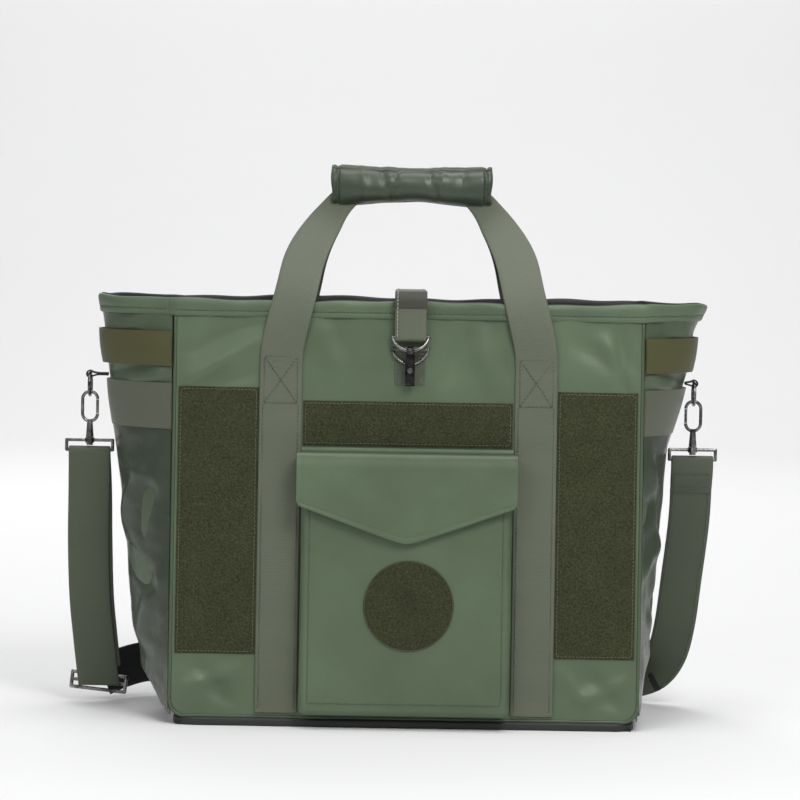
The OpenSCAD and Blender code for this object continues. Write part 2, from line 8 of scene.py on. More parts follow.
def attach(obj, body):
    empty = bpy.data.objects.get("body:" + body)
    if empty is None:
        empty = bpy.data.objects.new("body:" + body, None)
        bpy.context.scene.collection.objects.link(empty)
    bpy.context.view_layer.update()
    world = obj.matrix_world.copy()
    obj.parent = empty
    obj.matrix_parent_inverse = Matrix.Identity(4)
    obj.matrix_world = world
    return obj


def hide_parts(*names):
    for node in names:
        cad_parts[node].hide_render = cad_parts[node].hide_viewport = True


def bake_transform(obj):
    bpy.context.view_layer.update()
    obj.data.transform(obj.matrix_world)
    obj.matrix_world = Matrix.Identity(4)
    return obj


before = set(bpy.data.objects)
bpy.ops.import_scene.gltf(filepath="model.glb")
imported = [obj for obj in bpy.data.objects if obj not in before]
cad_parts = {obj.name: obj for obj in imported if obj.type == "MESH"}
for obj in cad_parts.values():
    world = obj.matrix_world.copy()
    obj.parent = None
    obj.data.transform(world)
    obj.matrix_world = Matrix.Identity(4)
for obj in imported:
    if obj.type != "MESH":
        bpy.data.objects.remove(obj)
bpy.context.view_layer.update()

# ---------- dimensions shared with the CAD model ----------

SEAM_X = 0.2085                 # the side seams
BAG_H = 0.380
BASE_D = 0.170
RIM_D = 0.120
HEM_Z = 0.366                   # foot of the folded hem round the mouth
WEB_W = 0.038
LEG_X = 0.114                   # middle of a handle's sewn webbing
SEWN_H = 0.331                  # top of the sewn part of a handle's webbing
FOLD_X = 0.105                  # middle of a handle leg at its fold
FOLD_Y = 0.0666
FOLD_Z = 0.384
GRIP_Z = 0.482                  # the grip's axis
POCKET_W = 0.187
POCKET_LOW = 0.012
POCKET_HIGH = 0.243
LEAN = math.atan((BASE_D - RIM_D) / 2 / BAG_H)
BULGE = {
    -1: ([0, .012, .042, .095, .148, .22, .29, .34, .38],
         [.004, .012, .028, .040, .046, .053, .0625, .0685, .073]),
    1: ([0, .02, .06, .12, .2, .25, .3, .32, .355, .38],
        [.003, .007, .012, .017, .023, .027, .041, .046, .051, .061]),
}


# ---------- camera ----------

def add_camera():
    """Nearly level with the bag's rim, turned a little so that the bag leans to the right."""
    distance, height, roll = 3.0, 0.47, math.radians(0.95)
    aim_x, aim_y, aim_z = -0.0075, -0.072, 0.2925
    width_seen = 0.7113         # at the depth of the point aimed at
    data = bpy.data.cameras.new("camera")
    data.sensor_width = 36
    data.lens = 36 * (distance + aim_y) / width_seen
    camera = bpy.data.objects.new("camera", data)
    bpy.context.scene.collection.objects.link(camera)
    place = Vector((aim_x, -distance, height))
    look = Vector((aim_x, aim_y, aim_z)) - place
    turn = look.to_track_quat("-Z", "Y").to_matrix().to_4x4()
    camera.matrix_world = Matrix.Translation(place) @ turn @ Matrix.Rotation(roll, 4, "Z")
    bpy.context.scene.camera = camera


add_camera()


# ---------- mesh tools ----------

def link(name, mesh):
    piece = bpy.data.objects.new(name, mesh)
    bpy.context.scene.collection.objects.link(piece)
    return piece


def signed_volume(mesh):
    """Six times the volume inside a closed mesh, negative where its faces point inwards."""
    mesh.calc_loop_triangles()
    corners = np.zeros(len(mesh.loop_triangles) * 3, np.int32)
    mesh.loop_triangles.foreach_get("vertices", corners)
    places = np.zeros(len(mesh.vertices) * 3)
    mesh.vertices.foreach_get("co", places)
    a, b, c = places.reshape(-1, 3)[corners.reshape(-1, 3)].transpose(1, 0, 2)
    return float(np.einsum("ij,ij->", a, np.cross(b, c)))


def make_mesh(name, points, faces, uv=None):
    """A mesh object. uv gives one pair for each point, in metres of cloth."""
    mesh = bpy.data.meshes.new(name)
    mesh.from_pydata([tuple(p) for p in points], [], [tuple(f) for f in faces])
    if uv is not None:
        layer = mesh.uv_layers.new(name="cloth")
        loops = np.zeros(len(mesh.loops), np.int32)
        mesh.loops.foreach_get("vertex_index", loops)
        layer.data.foreach_set("uv", np.asarray(uv, np.float32)[loops].ravel())
    mesh.polygons.foreach_set("use_smooth", np.ones(len(mesh.polygons), bool))
    mesh.update()
    if signed_volume(mesh) < 0:
        mesh.flip_normals()
    return link(name, mesh)


def join(name, pieces):
    """One object from several, with the first one's materials and place."""
    bpy.ops.object.select_all(action="DESELECT")
    for piece in pieces:
        piece.select_set(True)
    bpy.context.view_layer.objects.active = pieces[0]
    bpy.ops.object.join()
    pieces[0].name = name
    pieces[0].data.name = name
    return pieces[0]


def grid_normals(p):
    """Unit normals of a grid of points shaped (rows, columns, 3)."""
    du = np.gradient(p, axis=1)
    dv = np.gradient(p, axis=0)
    n = np.cross(du, dv)
    return n / np.maximum(np.linalg.norm(n, axis=2, keepdims=True), 1e-12)


def slab(name, outer, inner, uv=None, outward=1):
    """A closed slab between two grids of points shaped (rows, columns, 3)."""
    index = np.arange(outer[..., 0].size).reshape(outer.shape[:2])
    quads = np.stack([index[:-1, :-1].ravel(), index[:-1, 1:].ravel(),
                      index[1:, 1:].ravel(), index[1:, :-1].ravel()], 1)
    faces = [tuple(f) for f in quads] + [tuple(f) for f in quads[:, ::-1] + index.size]
    edge = np.concatenate([index[0, :], index[1:, -1], index[-1, -2::-1], index[-2:0:-1, 0]])
    faces += [(j, i, i + index.size, j + index.size) for i, j in zip(edge, np.roll(edge, -1))]
    if outward < 0:
        faces = [f[::-1] for f in faces]
    points = np.concatenate([outer.reshape(-1, 3), inner.reshape(-1, 3)])
    return make_mesh(name, points, faces, None if uv is None else np.concatenate([uv.reshape(-1, 2)] * 2))


def cloth(name, points, uv, thick, outward=1):
    """A closed sheet of cloth. points is its outer face as a grid shaped (rows, columns, 3), and
    outward is 1 where the grid's own normal points out of the bag, or -1."""
    piece = slab(name, points, points - outward * thick * grid_normals(points), uv, outward)
    piece.data.shade_smooth()
    piece.data.set_sharp_from_angle(angle=math.radians(50))
    return piece


def ripple(x, y, length, seed):
    """Soft random waves about that long, mostly between -1 and 1."""
    rng = np.random.default_rng(seed)
    count = 7
    total = np.zeros(np.broadcast(x, y).shape)
    for _ in range(count):
        angle = rng.uniform(0, 2 * math.pi)
        k = 2 * math.pi / (length * rng.uniform(0.7, 1.6))
        total = total + np.sin(k * (x * math.cos(angle) + y * math.sin(angle)) + rng.uniform(0, 6.3))
    return total / count * 1.6


def crease(x, y, start, end, width, height):
    """A ridge, or a valley where height is negative, that fades towards both ends."""
    (x0, y0), (x1, y1) = start, end
    dx, dy = x1 - x0, y1 - y0
    length = math.hypot(dx, dy)
    along = ((x - x0) * dx + (y - y0) * dy) / length ** 2
    across = ((x - x0) * dy - (y - y0) * dx) / length
    fade = np.clip(along * (1 - along) * 4, 0, 1)
    return height * fade * np.exp(-(across / width) ** 2)


def on_panel(x, v, w, back=False):
    """Points on the front panel: x across, v up its face, w out of it. back gives the back panel."""
    x, v, w = np.broadcast_arrays(x, v, w)
    y = -BASE_D / 2 + v * math.sin(LEAN) - w * math.cos(LEAN)
    z = v * math.cos(LEAN) + w * math.sin(LEAN)
    return np.stack([x, -y if back else y, z], -1)


def half_depth(z):
    return (BASE_D - (BASE_D - RIM_D) * z / BAG_H) / 2


def on_gusset(side, t, z, out):
    """Points on a gusset: t from -1 at the front seam to 1 at the back seam, out from its cloth."""
    t, z, out = np.broadcast_arrays(t, z, out)
    d = half_depth(z)
    b = np.interp(z, *BULGE[side])
    slope = 2 * b * t / d
    size = np.sqrt(1 + slope ** 2)
    x = side * (SEAM_X + b * (1 - t * t) + out / size)
    return np.stack([x, t * d + out * slope / size, z], -1)


def mesh_uv(u, v):
    u, v = np.broadcast_arrays(u, v)
    return np.stack([u, v], -1)


# ---------- materials ----------

class Tree:
    """A material's nodes, made by name, with inputs given as values or as other nodes' outputs."""

    def __init__(self, name):
        self.material = bpy.data.materials.new(name)
        self.material.use_nodes = True
        self.nodes = self.material.node_tree.nodes
        self.links = self.material.node_tree.links
        self.shader = self.nodes["Principled BSDF"]

    def feed(self, socket, value):
        if isinstance(value, bpy.types.NodeSocket):
            self.links.new(value, socket)
        else:
            socket.default_value = value

    def set(self, node, **inputs):
        for key, value in inputs.items():
            self.feed(node.inputs[key.replace("_", " ")], value)

    def add(self, kind, out=0, props=None, **inputs):
        node = self.nodes.new("ShaderNode" + kind)
        for key, value in (props or {}).items():
            setattr(node, key, value)
        self.set(node, **inputs)
        return node.outputs[out]

    def math(self, operation, a, b):
        node = self.nodes.new("ShaderNodeMath")
        node.operation = operation
        self.feed(node.inputs[0], a)
        self.feed(node.inputs[1], b)
        return node.outputs[0]

    def place(self, cloth=True):
        """Cloth coordinates in metres, or the object's own where it has none."""
        return self.add("TexCoord", 2 if cloth else 3)

    def noise(self, place, scale, detail=2.0, rough=0.5):
        return self.add("TexNoise", 0, Vector=place, Scale=scale, Detail=detail, Roughness=rough)

    def waves(self, place, axis, period, warp=0.0):
        """Bands between 0 and 1 that repeat after that many metres."""
        return self.add("TexWave", 1, {"bands_direction": axis, "wave_profile": "SIN"},
                        Vector=place, Scale=0.31416 / period, Distortion=warp, Detail=1.0)

    def ramp(self, factor, *stops):
        node = self.nodes.new("ShaderNodeValToRGB")
        self.links.new(factor, node.inputs[0])
        points = node.color_ramp.elements
        while len(points) < len(stops):
            points.new(0.5)
        for point, (at, color) in zip(points, stops):
            point.position = at
            point.color = (*color, 1)
        return node.outputs[0]

    def shade(self, base, low, high, factor):
        """The base colour times a value that runs from low to high with the factor."""
        return self.ramp(factor, (0.0, tuple(c * low for c in base)),
                         (1.0, tuple(min(c * high, 1) for c in base)))

    def darken(self, tone, amount, low, factor):
        """The tone, multiplied in part by a grey that runs from low to white with the factor."""
        grey = self.shade((1, 1, 1), low, 1, factor)
        node = self.nodes.new("ShaderNodeMix")
        node.data_type, node.blend_type = "RGBA", "MULTIPLY"
        for number, value in ((0, amount), (6, tone), (7, grey)):
            self.feed(node.inputs[number], value)
        return node.outputs[2]

    def bump(self, height, strength, distance, normal=None):
        node = self.nodes.new("ShaderNodeBump")
        self.set(node, Height=height, Strength=strength, Distance=distance)
        if normal is not None:
            self.links.new(normal, node.inputs["Normal"])
        return node.outputs[0]

    def finish(self, **inputs):
        self.set(self.shader, **inputs)
        return self.material


def srgb(r, g, b):
    """Linear colour of an sRGB one given from 0 to 255."""
    return tuple(((c / 255 + 0.055) / 1.055) ** 2.4 if c > 10 else c / 255 / 12.92
                 for c in (r, g, b))


def coated_nylon(name, color, rough=0.45, wrinkle=0.5, cloth=True, gloss=0.38):
    """Plain-weave nylon with a satin coating: fine threads, soft wrinkles and rubbed patches."""
    t = Tree(name)
    place = t.place(cloth)
    weave = t.math("MULTIPLY", t.waves(place, "X", 0.0007), t.waves(place, "Y", 0.0007))
    broad = t.noise(place, 9, 3)
    fine = t.noise(place, 420, 2)
    tone = t.shade(color, 0.84, 1.16, t.ramp(broad, (0.3, (0, 0, 0)), (0.7, (1, 1, 1))))
    tone = t.darken(t.darken(tone, 0.22, 0.55, weave), 0.18, 0.4, fine)
    satin = t.ramp(t.noise(place, 30, 3), (0.3, (rough - 0.07,) * 3), (0.75, (rough + 0.09,) * 3))
    soft = t.bump(t.noise(place, 34, 3, 0.55), wrinkle, 0.0011)
    normal = t.bump(weave, 0.35, 0.00006, soft)
    return t.finish(Base_Color=tone, Roughness=satin, Normal=normal, Specular_IOR_Level=gloss,
                    Sheen_Weight=0.04, Sheen_Roughness=0.35)


def webbing(name, color, rib=0.0016, cloth=True, rough=0.6, sheen=0.12):
    """Flat nylon webbing: ribs across its length, warp threads along it, fuzzy tone changes."""
    t = Tree(name)
    place = t.place(cloth)
    ribs = t.waves(place, "Y", rib, 0.25)
    warp = t.waves(place, "X", 0.0008, 0.4)
    height = t.math("ADD", t.math("MULTIPLY", ribs, 0.7), t.math("MULTIPLY", warp, 0.3))
    tone = t.shade(color, 0.9, 1.1, t.noise(place, 14, 3))
    tone = t.darken(tone, 0.5, 0.62, height)
    tone = t.darken(tone, 0.15, 0.4, t.noise(place, 500, 2))
    normal = t.bump(height, 0.5, 0.00022)
    return t.finish(Base_Color=tone, Roughness=rough, Normal=normal,
                    Sheen_Weight=sheen, Sheen_Roughness=0.4)


def pile(name, color, light):
    """Loop pile: tiny curled loops in clumps, with lighter tips."""
    t = Tree(name)
    place = t.place()
    loops = t.add("TexVoronoi", 0, Vector=place, Scale=760.0)
    clumps = t.noise(place, 480, 4, 0.7)
    patches = t.noise(place, 45, 3)
    factor = t.math("ADD", t.math("MULTIPLY", clumps, 1.1), t.math("MULTIPLY", patches, 0.2))
    factor = t.math("SUBTRACT", factor, t.math("MULTIPLY", loops, 0.45))
    tone = t.ramp(factor, (0.22, tuple(c * 0.5 for c in color)), (0.5, color), (0.78, light))
    height = t.math("SUBTRACT", clumps, t.math("MULTIPLY", loops, 0.5))
    return t.finish(Base_Color=tone, Roughness=0.95, Normal=t.bump(height, 0.9, 0.0009),
                    Sheen_Weight=0.12, Sheen_Roughness=0.6, Specular_IOR_Level=0.15)


def metal(name, color, rough, wear):
    """Plated wire or casting: fine brushing, smudges and brighter rubbed spots."""
    t = Tree(name)
    place = t.place(False)
    smudge = t.noise(place, 130, 4, 0.6)
    tone = t.ramp(smudge, (0.35, color), (0.7, wear))
    shine = t.ramp(t.noise(place, 300, 3), (0.3, (rough - 0.08,) * 3), (0.7, (rough + 0.12,) * 3))
    return t.finish(Base_Color=tone, Metallic=1.0, Roughness=shine,
                    Normal=t.bump(t.noise(place, 900, 3), 0.25, 0.00008))


def foam(name, color):
    t = Tree(name)
    place = t.place(False)
    cells = t.add("TexVoronoi", 0, Vector=place, Scale=700.0)
    return t.finish(Base_Color=t.shade(color, 0.6, 1.1, cells), Roughness=0.95,
                    Normal=t.bump(cells, 0.6, 0.0006))


def thread(name, color):
    t = Tree(name)
    place = t.place(False)
    twist = t.noise(place, 1500, 2)
    return t.finish(Base_Color=t.shade(color, 0.7, 1.2, twist), Roughness=0.6,
                    Sheen_Weight=0.3, Sheen_Roughness=0.4)


NYLON = coated_nylon("coated_nylon_green", srgb(92, 109, 84))
# Painted shade: the gussets, piping and pocket bellows get a darker copy of the panels' coated nylon,
# standing in for the shade on the bag's sides.
GUSSET_NYLON_PAINTED_SHADE = coated_nylon("coated_nylon_gusset_painted_shade", srgb(84, 98, 77), 0.34, 0.9, True, 0.4)
# Painted shade: the side pockets get a much darker copy of the coated nylon, standing in for the shade on the
# bag's sides.
SIDE_POCKET_NYLON_PAINTED_SHADE = coated_nylon("coated_nylon_side_pocket_painted_shade", srgb(60, 70, 55), 0.3, 0.9, True, 0.45)
# Painted shade: the grip wrap gets a darker copy of the coated nylon, standing in for the shade on its
# underside.
WRAP_NYLON_PAINTED_SHADE = coated_nylon("coated_nylon_wrap_painted_shade", srgb(62, 74, 57), 0.38, 0.4, False, 0.5)
WEBBING = webbing("webbing_green", srgb(97, 104, 86))
WEB_DARK = webbing("webbing_strap", srgb(82, 90, 72))
BINDING = webbing("binding_black", srgb(38, 42, 38), 0.0012, False, 0.55)
HEM_TAPE = webbing("hem_tape", srgb(92, 97, 80), 0.0011, True, 0.42, 0.1)
ELASTIC = webbing("elastic_olive", srgb(78, 78, 40), 0.0013, True, 0.55, 0.05)
# Painted shade: a dark webbing laid over the closure strap where it bends over the mouth, standing in for the
# shade there.
PAINTED_SHADE_WEBBING = webbing("webbing_painted_shade", srgb(58, 58, 50))
BLACK_WEB = webbing("webbing_black", srgb(30, 32, 30), 0.0016, False, 0.5)
PILE = pile("loop_pile", srgb(60, 63, 40), srgb(80, 84, 55))
LINING = coated_nylon("lining_black", srgb(34, 36, 36), 0.5, 0.6)
PADDED_LINING = coated_nylon("lining_padded", srgb(42, 44, 44), 0.55, 0.4, False)
FOAM = foam("foam_grey", srgb(120, 122, 120))
BOARD = foam("base_board", srgb(58, 58, 56))
STEEL = metal("gunmetal", srgb(74, 74, 76), 0.26, srgb(170, 168, 164))
BLACK_STEEL = metal("black_metal", srgb(30, 30, 32), 0.3, srgb(70, 68, 66))
THREAD = thread("thread_green", srgb(66, 84, 68))
THREAD_WEB = thread("thread_webbing", srgb(78, 88, 74))
THREAD_PALE = thread("thread_pale", srgb(168, 170, 158))
# Painted shadow: the shoulder strap's run along the floor shows its face like the rest of the strap, but is
# coloured near-black to stand in for the shadow it lies in.
STRAP_RUN_PAINTED_SHADOW = webbing("webbing_painted_shadow", srgb(30, 33, 31))
THREAD_OLIVE = thread("thread_olive", srgb(84, 88, 60))


# ---------- seams and straps ----------

SEW_STEP = 0.003                # between two points of a sewn line's route


def finish_piece(piece, body, material, replaces=()):
    """Material, body and the CAD nodes replaced. A piece given no body is left unattached."""
    piece.data.materials.clear()
    piece.data.materials.append(material)
    if body:
        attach(piece, body)
    if replaces:
        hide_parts(*replaces)


def lengths(points):
    """How far along a route each of its points is."""
    return np.concatenate([[0], np.cumsum(np.linalg.norm(np.diff(points, axis=0), axis=1))])


def along_route(at, length, values):
    return np.stack([np.interp(at, length, column) for column in values.T], 1)


def resample(points, step):
    """The points of a route, in two or three dimensions, at equal steps."""
    points = np.asarray(points, float)
    length = lengths(points)
    count = max(int(round(length[-1] / step)), 1)
    return along_route(np.linspace(0, length[-1], count + 1), length, points)


def smooth_route(points, steps):
    """A smooth curve through the points (Catmull-Rom), with that many steps between two."""
    points = np.asarray(points, float)
    last = len(points) - 1
    out = []
    for i in range(last):
        a, b = points[max(i - 1, 0)], points[i]
        c, d = points[i + 1], points[min(i + 2, last)]
        for k in range(steps):
            u = k / steps
            out.append(0.5 * (2 * b + (c - a) * u + (2 * a - 5 * b + 4 * c - d) * u ** 2
                              + (3 * b - a - 3 * c + d) * u ** 3))
    return np.array(out + [points[last]])


def unit(v):
    v = np.asarray(v, float)
    return v / np.maximum(np.linalg.norm(v, axis=-1, keepdims=True), 1e-12)


def tube_mesh(name, rings, closed=False, uv=None):
    """A closed surface through rings of points shaped (stations, ring, 3)."""
    count, size = rings.shape[:2]
    index = np.arange(count * size).reshape(count, size)
    nxt = np.roll(index, -1, axis=1)
    faces = []
    for i in range(count if closed else count - 1):
        j = (i + 1) % count
        faces += list(zip(index[i], nxt[i], nxt[j], index[j]))
    if not closed:
        faces += [tuple(index[0][::-1]), tuple(index[-1])]
    return make_mesh(name, rings.reshape(-1, 3), faces, uv)


def thread_rings(start, end, normal, radius):
    """Rings of one stitch per row of start and end: a short thread that dips at both ends."""
    along = end - start
    side = unit(np.cross(along, normal))
    parts = []
    for at, size, lift in ((0.0, 0.45, -0.7), (0.22, 1.0, 0.45), (0.78, 1.0, 0.45), (1.0, 0.45, -0.7)):
        middle = start + along * at + normal * (lift * radius)
        ring = [middle + size * radius * (math.cos(a) * side + math.sin(a) * normal)
                for a in np.arange(5) * 2 * math.pi / 5]
        parts.append(np.stack(ring, 1))
    return np.stack(parts, 1)


def stitches(name, lines, pitch=0.0034, radius=0.00042):
    """Sewn lines. Each line is a list of points and the outward normals there."""
    blocks = []
    for points, normals in lines:
        points = np.asarray(points, float)
        normals = np.broadcast_to(unit(normals), points.shape)
        length = lengths(points)
        count = max(int(length[-1] / pitch), 1)
        at = np.linspace(0, length[-1], count + 1)[:-1]
        ends = at + 0.84 * length[-1] / count
        blocks.append(thread_rings(along_route(at, length, points), along_route(ends, length, points),
                                   unit(along_route(at, length, normals)), radius))
    rings = np.concatenate(blocks)
    count, stations, size = rings.shape[:3]
    base = np.arange(stations * size).reshape(stations, size)
    nxt = np.roll(base, -1, axis=1)
    faces = []
    for i in range(stations - 1):
        faces += list(zip(base[i], base[i + 1], nxt[i + 1], nxt[i]))
    ends = np.array([base[0], base[-1][::-1]])
    shift = np.arange(count)[:, None, None] * stations * size
    every = [tuple(f) for f in (np.array(faces)[None] + shift).reshape(-1, 4)]
    every += [tuple(f) for f in (ends[None] + shift).reshape(-1, size)]
    return make_mesh(name, rings.reshape(-1, 3), every)


def sew(name, lines, material, body="bag", **size):
    finish_piece(stitches(name, lines, **size), body, material)


def strap_profile(width, thick, columns):
    """The outline of a webbing's section, with round edges: across it, and out of its face."""
    r = thick / 2
    flat = width / 2 - r
    face = [(x, r) for x in np.linspace(-flat, flat, columns + 1)]
    right = [(flat + r * math.cos(a), r * math.sin(a)) for a in (0.8, 0, -0.8)]
    back = [(x, -y) for x, y in reversed(face)]
    left = [(-x, -y) for x, y in right]
    return np.array(face + right + back + left)


def strap(name, middle, across, out, width, thick, columns=8, widths=None):
    """Webbing along a route of its middle line. across and out are unit vectors at each point."""
    middle = np.asarray(middle, float)
    across = np.broadcast_to(across, middle.shape)
    out = np.broadcast_to(out, middle.shape)
    profile = strap_profile(width, thick, columns)
    scale = np.ones(len(middle)) if widths is None else np.asarray(widths) / width
    rings = (middle[:, None] + profile[None, :, :1] * across[:, None] * scale[:, None, None]
             + profile[None, :, 1:] * out[:, None])
    uv = np.stack(np.broadcast_arrays(profile[None, :, 0], lengths(middle)[:, None]), -1)
    piece = tube_mesh(name, rings[:, ::-1], uv=uv[:, ::-1].reshape(-1, 2))
    piece.data.set_sharp_from_angle(angle=math.radians(60))
    return piece


def edge_lines(middle, across, out, width, thick, inset):
    """Two sewn lines along a strap's face, near its edges."""
    return [(middle + side * (width / 2 - inset) * across + out * thick / 2, out) for side in (-1, 1)]


# ---------- floor, wall and lights ----------

def stage():
    """A pale floor that curves up into a backdrop."""
    front, bend, radius, top, half = -4.4, 3.2, 0.8, 4.4, 4.6
    profile = [(front, 0.0), (bend, 0.0)]
    profile += [(bend + radius * math.sin(a), radius - radius * math.cos(a))
                for a in np.linspace(0.12, math.pi / 2, 12)]
    profile += [(bend + radius, top)]
    points = np.array([[(x, y, z) for x in np.linspace(-half, half, 5)] for y, z in profile])
    floor = cloth("floor", points, points[..., :2], 0.01)
    t = Tree("studio_floor")
    tone = t.shade((0.84, 0.84, 0.845), 0.99, 1.0, t.noise(t.place(False), 3))
    floor.data.materials.append(t.finish(Base_Color=tone, Roughness=0.9))


def area_light(name, place, aim, size, power):
    data = bpy.data.lights.new(name, "AREA")
    data.shape = "RECTANGLE"
    data.size, data.size_y = size
    data.energy = power
    lamp = bpy.data.objects.new(name, data)
    bpy.context.scene.collection.objects.link(lamp)
    lamp.location = place
    lamp.rotation_euler = (Vector(aim) - Vector(place)).to_track_quat("-Z", "Y").to_euler()


def lights():
    area_light("key_right", (0.6, -1.25, 1.5), (0, -0.05, 0.34), (0.7, 0.7), 16)
    area_light("fill_left", (-1.5, -2.2, 1.9), (0, 0, 0.3), (1.2, 1.2), 13)
    area_light("top", (0.1, -0.2, 2.6), (0, 0, 0.2), (1.6, 1.0), 26)
    area_light("back", (-0.9, 2.3, 2.1), (0, 0, 0.2), (1.4, 1.0), 12)
    area_light("wall", (0, 1.9, 3.0), (0, 4.1, 0.9), (4.0, 0.6), 62)
    world = bpy.data.worlds.new("studio")
    bpy.context.scene.world = world
    world.use_nodes = True
    world.node_tree.nodes["Background"].inputs["Color"].default_value = (1, 1, 1, 1)
    world.node_tree.nodes["Background"].inputs["Strength"].default_value = 0.33
    bpy.context.scene.view_settings.view_transform = "Standard"


stage()
lights()


# ---------- the bag's shell ----------

FRONT_FOLDS = [  # start and end (across, up), half width and height
    ((-0.212, 0.300), (-0.120, 0.352), 0.0085, 0.0032), ((-0.205, 0.328), (-0.130, 0.368), 0.008, -0.0026),
    ((-0.212, 0.292), (-0.130, 0.318), 0.007, -0.0022), ((0.165, 0.356), (0.212, 0.300), 0.008, 0.0034),
    ((0.140, 0.350), (0.205, 0.318), 0.010, -0.0022), ((0.186, 0.372), (0.196, 0.290), 0.006, -0.0028),
    ((0.055, 0.375), (0.080, 0.290), 0.012, 0.0020), ((0.030, 0.300), (0.060, 0.372), 0.009, -0.0018),
    ((-0.085, 0.375), (-0.060, 0.300), 0.012, 0.0017), ((-0.190, 0.062), (-0.150, 0.012), 0.009, -0.0030),
    ((-0.212, 0.030), (-0.140, 0.052), 0.008, 0.0028), ((0.150, 0.064), (0.200, 0.012), 0.010, -0.0030),
    ((0.212, 0.050), (0.150, 0.024), 0.008, 0.0028), ((0.135, 0.06), (0.165, 0.02), 0.007, 0.0018)]
BACK_FOLDS = [
    ((-0.200, 0.300), (-0.130, 0.352), 0.010, 0.003), ((0.205, 0.310), (0.135, 0.345), 0.009, 0.003),
    ((-0.080, 0.340), (0.070, 0.240), 0.016, 0.0022), ((-0.090, 0.120), (0.085, 0.180), 0.018, -0.0022),
    ((-0.060, 0.080), (0.080, 0.040), 0.012, 0.002), ((-0.205, 0.070), (-0.140, 0.020), 0.009, 0.0028),
    ((0.205, 0.060), (0.140, 0.018), 0.009, 0.0028), ((-0.060, 0.300), (0.010, 0.330), 0.008, 0.0018)]


def ease(x):
    x = np.clip(x, 0, 1)
    return x * x * (3 - 2 * x)


def panel_w(x, v, back=False):
    """How far the front or back panel's cloth stands out of its plane."""
    x, v = np.broadcast_arrays(np.asarray(x, float), np.asarray(v, float))
    fade = ease((SEAM_X - np.abs(x)) / 0.016) * ease((0.369 - v) / 0.014) * ease((v - 0.010) / 0.016)
    w = 0.0018 * np.cos(x / SEAM_X * math.pi / 2) * np.sin(np.clip(v / HEM_Z, 0, 1) * math.pi)
    w = w + 0.0008 * ripple(x, v, 0.12, 3 + back) + 0.00035 * ripple(x, v, 0.035, 13 + back)
    for start, end, width, height in (BACK_FOLDS if back else FRONT_FOLDS):
        w = w + crease(x, v, start, end, 0.85 * width, 1.6 * height)
    return w * fade


def panel_normal(back=False):
    return np.array([0, math.cos(LEAN) * (1 if back else -1), math.sin(LEAN)])


def panel_cloth(name, back):
    low, high, corner = 0.0098, HEM_Z, 0.013
    v = np.concatenate([low + corner * (1 - np.cos(np.linspace(0, math.pi / 2, 9))),
                        np.linspace(low + corner, high, 96)[1:]])
    rise = np.clip(corner - (v - low), 0, corner)
    half = SEAM_X - 0.0012 - corner + np.sqrt(corner ** 2 - rise ** 2)
    x = np.linspace(-1, 1, 111)[None] * half[:, None]
    v = np.repeat(v[:, None], 111, 1)
    points = on_panel(x, v, panel_w(x, v, back), back)
    return cloth(name, points, mesh_uv(x, v), 0.0012, -1 if back else 1)


POCKET_FOLDS = {  # start and end (towards the back, up), half width and height
    -1: [((-0.078, 0.255), (0.010, 0.150), 0.011, 0.0055), ((-0.060, 0.262), (-0.046, 0.150), 0.007, -0.0042),
         ((-0.086, 0.205), (-0.020, 0.235), 0.008, 0.0045), ((-0.086, 0.150), (-0.030, 0.070), 0.010, 0.0048),
         ((-0.080, 0.110), (0.020, 0.170), 0.010, -0.0045), ((-0.070, 0.060), (0.060, 0.110), 0.012, 0.0040),
         ((0.080, 0.250), (-0.005, 0.140), 0.011, 0.0048), ((0.086, 0.180), (0.020, 0.080), 0.009, -0.0045),
         ((-0.084, 0.030), (0.050, 0.060), 0.009, 0.0030), ((0.0, 0.262), (0.004, 0.030), 0.011, -0.0060),
         ((-0.088, 0.230), (-0.070, 0.090), 0.005, 0.0032)],
    1: [((-0.084, 0.262), (-0.040, 0.205), 0.008, 0.0050), ((-0.060, 0.262), (-0.040, 0.060), 0.007, 0.0046),
        ((-0.082, 0.170), (-0.050, 0.215), 0.006, -0.0040), ((-0.086, 0.120), (-0.030, 0.190), 0.007, 0.0042),
        ((-0.070, 0.090), (0.010, 0.150), 0.010, -0.0045), ((-0.080, 0.050), (0.060, 0.090), 0.010, 0.0035),
        ((0.082, 0.240), (0.010, 0.160), 0.010, 0.0045), ((0.086, 0.150), (0.030, 0.050), 0.009, 0.0040),
        ((0.0, 0.262), (0.000, 0.040), 0.010, -0.0055), ((-0.074, 0.262), (-0.070, 0.090), 0.005, -0.0030)]}
GUSSET_FOLDS = [
    ((-0.075, 0.318), (-0.030, 0.300), 0.005, 0.0042), ((-0.050, 0.320), (0.010, 0.302), 0.005, -0.0035),
    ((0.020, 0.318), (0.070, 0.304), 0.006, 0.0040), ((-0.062, 0.366), (-0.020, 0.348), 0.007, 0.0036),
    ((-0.045, 0.352), (-0.058, 0.372), 0.005, -0.0030), ((0.055, 0.370), (0.010, 0.349), 0.008, 0.0036),
    ((0.0, 0.375), (0.0, 0.300), 0.009, -0.0030), ((-0.068, 0.304), (-0.052, 0.325), 0.005, 0.0030)]


def calm(t):
    """Folds are lower at a gusset's middle, which the outline follows."""
    return 0.3 + 0.7 * ease(np.abs(t) / 0.5)


def seam_fade(t, z):
    return ease((1 - np.abs(t)) * half_depth(z) / 0.011)


def gusset_out(side, t, z):
    """How far a gusset's own cloth stands out of its smooth curve, above the side pocket."""
    y = t * half_depth(z)
    out = 0.0010 * ripple(y, z, 0.05, 30 + side)
    for start, end, width, height in GUSSET_FOLDS:
        out = out + crease(y, z, start, end, width, height)
    return out * calm(t) * seam_fade(t, z) * ease((z - 0.298) / 0.010) * ease((0.374 - z) / 0.016)


